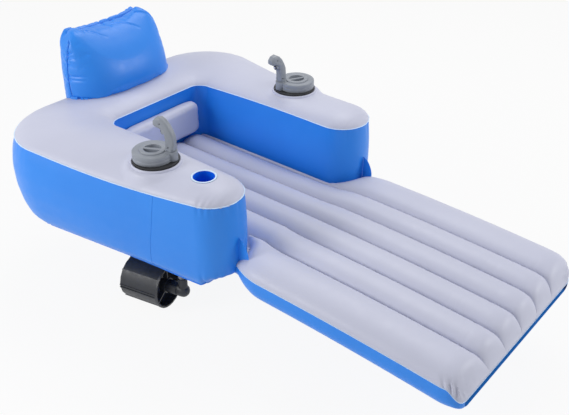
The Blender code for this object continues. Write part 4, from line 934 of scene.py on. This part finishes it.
lumbar = shaped_grid(96, 14, lumbar_places)
bmesh.ops.holes_fill(lumbar, edges=lumbar.edges, sides=110)
bmesh.ops.recalc_face_normals(lumbar, faces=lumbar.faces)
lumbar = inflated(lumbar, "lumbar", 0.004, 0.005)
for vert in lumbar.verts:
    vert.co.y = min(vert.co.y, 0.6655)
lumbar_piece = finish(trimmed(lumbar, room), "lumbar_pad_film", pearl_film,
                      replaces=["lumbar_pad"])


# Mat flaps: rounded fins of blue film on the front of each arm, welded along the wall; the free
# edge is pressed to a thin bead.
flap_root_y, flap_reach, flap_middle_z, flap_half_height = -0.09, 0.047, 0.146, 0.05
for side, x in (("right", -arm_x), ("left", arm_x)):
    def fin_places(across, down, x=x):
        turn = math.pi * down
        edge = -arm_radius - flap_reach * np.sin(math.pi * down ** 0.8) ** 0.8
        wave = 0.0022 * np.sin(2.2 * turn) * across
        return np.column_stack([x + wave, blend(flap_root_y, edge, across),
                                flap_middle_z - flap_half_height * np.cos(turn)])

    fin = shaped_grid(12, 40, fin_places)
    bmesh.ops.solidify(fin, geom=fin.faces[:], thickness=0.0012)
    bmesh.ops.recalc_face_normals(fin, faces=fin.faces)
    finish(trimmed(fin, room), side + "_mat_flap_film", blue_film,
           replaces=[side + "_mat_flap"])
    down = np.linspace(0, 1, 60)
    bead_out = np.column_stack([np.zeros(60), -np.sin(math.pi * down) - 0.02, -np.cos(math.pi * down)])
    bead = lip(fin_places(np.ones(60), down), bead_out, 0.0017, 0.0014, closed=False)
    finish(trimmed(bead, room), side + "_flap_bead", blue_film, crease=3)
bpy.data.objects.remove(room)


# Cup holder: a blue film cup welded into a round hole in the right arm, with a pressed rim in the pale weld
# film, whose colour is a painted highlight.
def revolved(profile, centre, segments=64):
    """A closed solid from a profile of radii and heights turned once round a vertical axis."""
    bm = bmesh.new()
    verts = [bm.verts.new((radius, 0, z)) for radius, z in profile]
    for first, second in zip(verts, verts[1:]):
        bm.edges.new((first, second))
    bmesh.ops.spin(bm, geom=bm.verts[:] + bm.edges[:], cent=(0, 0, 0), axis=(0, 0, 1), angle=2 * math.pi,
                   steps=segments, use_merge=True)
    bmesh.ops.remove_doubles(bm, verts=bm.verts, dist=1e-5)
    bmesh.ops.dissolve_degenerate(bm, edges=bm.edges, dist=1e-6)
    bmesh.ops.recalc_face_normals(bm, faces=bm.faces)
    bmesh.ops.translate(bm, verts=bm.verts, vec=(centre[0], centre[1], 0))
    return bm


deep_blue_film = film("cup_film", (0.004, 0.16, 0.86), (0.004, 0.14, 0.80), gloss=(0.55, 0.65), sheen=0.08)
liner = revolved([
    (0, 0.286), (0.030, 0.2862), (0.0355, 0.2885), (0.037, 0.294), (0.0372, 0.36), (0.0378, 0.3795),
    (0.0389, 0.3795), (0.0384, 0.36), (0.0382, 0.292), (0.036, 0.286), (0.030, 0.2838), (0, 0.2836)],
    cup_centre)
finish(liner, "cup_liner_film", deep_blue_film, replaces=["cup_holder"])
# The rim ring's pale colour is a painted highlight.
rim_ring = revolved([
    (0.0374, 0.3800), (0.0382, 0.3812), (0.0425, 0.3816), (0.0438, 0.3808), (0.0438, 0.3796),
    (0.0374, 0.3798), (0.0374, 0.3800)], cup_centre)
finish(rim_ring, "cup_rim_film", weld_film_painted_highlight)


# Port collars: a pearl film sleeve is welded through each arm from the bottom sheet to the top
# one; its turned-out collar carries the drive unit, and is pressed to a bead round the gasket.
for side, centre in port_centres.items():
    sleeve = revolved([
        (0.0765, 0.0008), (0.0765, 0.3762), (0.0773, 0.3786), (0.0785, 0.3793), (0.0829, 0.3793),
        (0.0832, 0.3812), (0.0842, 0.3828), (0.0858, 0.3832), (0.0874, 0.3822), (0.0882, 0.3800),
        (0.0892, 0.3778), (0.0893, 0.3720), (0.0885, 0.3570), (0.0870, 0.3556), (0.0810, 0.3554),
        (0.0795, 0.3540), (0.0790, 0.3500), (0.0790, 0.0008), (0.0765, 0.0008)], centre, 96)
    finish(sleeve, side + "_port_collar_film", pearl_film,
           replaces=[side + "_port_sleeve"], crease=1.2)


# Drive units and valves: injection-moulded grey and black plastic, a rubber gasket, clear soft
# valves and steel fasteners. Moulded edges are rounded, fine-grained, and scuffed a little pale.
moulded_group, moulded_in, moulded_out = surface_group("moulded_surface", (
    "Colour", "Worn colour", "Gloss low", "Gloss high", "Grain", "Wear"))
rounded = moulded_group.nodes.new("ShaderNodeBevel")
rounded.samples = 4
rounded.inputs["Radius"].default_value = 0.0012
facing = moulded_group.nodes.new("ShaderNodeNewGeometry")
turned_by = moulded_group.nodes.new("ShaderNodeVectorMath")
turned_by.operation = "DOT_PRODUCT"
moulded_group.links.new(rounded.outputs["Normal"], turned_by.inputs[0])
moulded_group.links.new(facing.outputs["Normal"], turned_by.inputs[1])
edges = spread(moulded_group, turned_by.outputs["Value"], 1.0, 0.0, 0.86, 0.995)
patchy = spread(moulded_group, noise(moulded_group, 90, 3.0), 0.25, 1.0)
worn = add_values(moulded_group, add_values(moulded_group, edges, patchy, "MULTIPLY"),
                  moulded_in.outputs["Wear"], "MULTIPLY")
cloudy = spread(moulded_group, noise(moulded_group, 24, 3.0), 0.0, 0.18)
speck = mix_colours(moulded_group, cloudy, moulded_in.outputs["Colour"], moulded_in.outputs["Worn colour"])
moulded_group.links.new(mix_colours(moulded_group, worn, speck, moulded_in.outputs["Worn colour"]),
                        moulded_out.inputs["Colour"])
matt = spread(moulded_group, noise(moulded_group, 60, 3.0), moulded_in.outputs["Gloss low"],
              moulded_in.outputs["Gloss high"])
moulded_group.links.new(matt, moulded_out.inputs["Roughness"])
texture = add_values(moulded_group, noise(moulded_group, 1400, 1.0), moulded_in.outputs["Grain"], "MULTIPLY")
moulded_group.links.new(texture, moulded_out.inputs["Height"])


def moulded(name, colour, worn_colour, gloss, grain=0.3, wear=0.5, metallic=0.0, clear=0.0):
    """A moulded or machined finish; metal and clear kinds differ only in the shader's own values."""
    return surface_material(
        name, moulded_group,
        (("Metallic", metallic), ("Transmission Weight", clear), ("IOR", 1.5)),
        (("Colour", (*colour, 1)), ("Worn colour", (*worn_colour, 1)), ("Gloss low", gloss[0]),
         ("Gloss high", gloss[1]), ("Grain", grain), ("Wear", wear)), bump_depth=0.0002, bump_strength=0.5)


finishes = {
    "grey_plastic": moulded("grey_plastic", (0.25, 0.275, 0.32), (0.42, 0.44, 0.48), (0.34, 0.46)),
    "black_plastic": moulded("black_plastic", (0.011, 0.013, 0.019), (0.07, 0.08, 0.10), (0.36, 0.5),
                             wear=0.6),
    "black_rubber": moulded("black_rubber", (0.012, 0.013, 0.016), (0.05, 0.05, 0.055), (0.55, 0.7), 0.6,
                            0.3),
    "clear_vinyl": moulded("clear_vinyl", (0.80, 0.86, 0.93), (0.88, 0.92, 0.96), (0.12, 0.22), 0.1, 0.3,
                           clear=0.55),
    "steel": moulded("steel", (0.50, 0.50, 0.51), (0.66, 0.66, 0.66), (0.22, 0.36), 0.2, 0.4, metallic=1.0),
    "brass": moulded("brass", (0.62, 0.46, 0.20), (0.75, 0.62, 0.36), (0.26, 0.38), 0.2, 0.4, metallic=1.0),
    "cell_wrap": moulded("cell_wrap", (0.025, 0.14, 0.10), (0.06, 0.22, 0.16), (0.2, 0.32), 0.1, 0.2)}
inside = ("battery_case", "battery_carrier", "cap_seal", "upper_bush", "lower_bush", "trigger_switch",
          "motor")
thin_edged = ("propeller", "shroud")
body_of = {node: body for body, nodes in frame["record"]["behaviour"]["bodies"].items() for node in nodes}


def smooth_copy(node, material, rounding):
    """A CAD part's own form with its triangles merged and its edges rounded, as a mould leaves them."""
    bm = bmesh.new()
    bm.from_mesh(frame["nodes"][node].data)
    bmesh.ops.remove_doubles(bm, verts=bm.verts, dist=2e-6)
    bmesh.ops.dissolve_limit(bm, angle_limit=0.01, verts=bm.verts, edges=bm.edges)
    crease = 9 if rounding else 0.6
    piece = finish(bm, node + "_moulding", material, body_of[node], [node], crease=crease)
    if rounding:
        edge = piece.modifiers.new("rounding", "BEVEL")
        edge.width = rounding
        edge.segments = 2
        edge.limit_method = "ANGLE"
        edge.angle_limit = 0.6
        edge.harden_normals = True
    return piece


for part in frame["record"]["subparts"]:
    node, slot = part["node"], part["material_slot"]
    if slot not in finishes:
        continue
    plain_name = node.replace("right_", "").replace("left_", "")
    if plain_name in inside:
        frame["nodes"][node].material_slots[0].material = finishes[slot]
    else:
        smooth_copy(node, finishes[slot], 0 if plain_name in thin_edged else 0.0006)


# Handle screws and trigger glints: black pan-head screws sunk in each half's moulded wells, and a pale disc
# of pearl film on the end of each trigger button, a painted highlight for the glint at the button's centre.
def turn_about(bm, angle, axis):
    bmesh.ops.rotate(bm, verts=bm.verts, cent=(0, 0, 0), matrix=Matrix.Rotation(angle, 3, axis))


handle_frames = {"right": (-0.3603, 0.1884, 12), "left": (0.3324, 0.2797, 84)}
handle_reach, handle_height, deck_z = 0.062, 0.152, 0.390
screw_side, trigger_height = 0.0128, 0.099
for side, (axis_x, axis_y, heading) in handle_frames.items():
    screws = bmesh.new()
    for across in (-1, 1):
        for reach, height in ((0.50 * handle_reach, 0.86 * handle_height),
                              (0.06 * handle_reach, 0.32 * handle_height)):
            screw = revolved([(0, -0.0009), (0.0007, -0.0008), (0.0009, -0.0001), (0.0019, -0.0001),
                              (0.0025, -0.0007), (0.0026, -0.0022), (0, -0.0022), (0, -0.0009)], (0, 0), 20)
            turn_about(screw, across * math.pi / 2, "Y")
            bmesh.ops.translate(screw, verts=screw.verts, vec=(across * screw_side, reach, height))
            head = bpy.data.meshes.new("screw_head")
            screw.to_mesh(head)
            screw.free()
            screws.from_mesh(head)
            bpy.data.meshes.remove(head)
    # Painted highlight: a pale disc of pearl film standing in for the glint at the trigger button's centre.
    insert = revolved([(0, 0.0361), (0.0036, 0.0361), (0.0042, 0.0357), (0.0042, 0.0352), (0, 0.0352),
                       (0, 0.0361)], (0, 0), 32)
    turn_about(insert, -math.pi / 2, "X")
    bmesh.ops.translate(insert, verts=insert.verts, vec=(0, 0, trigger_height))
    for bm in (screws, insert):
        turn_about(bm, math.radians(heading), "Z")
        bmesh.ops.translate(bm, verts=bm.verts, vec=(axis_x, axis_y, deck_z))
    finish(screws, side + "_handle_screws", finishes["black_plastic"], side + "_steering")
    finish(insert, side + "_trigger_insert", pearl_film, side + "_trigger")
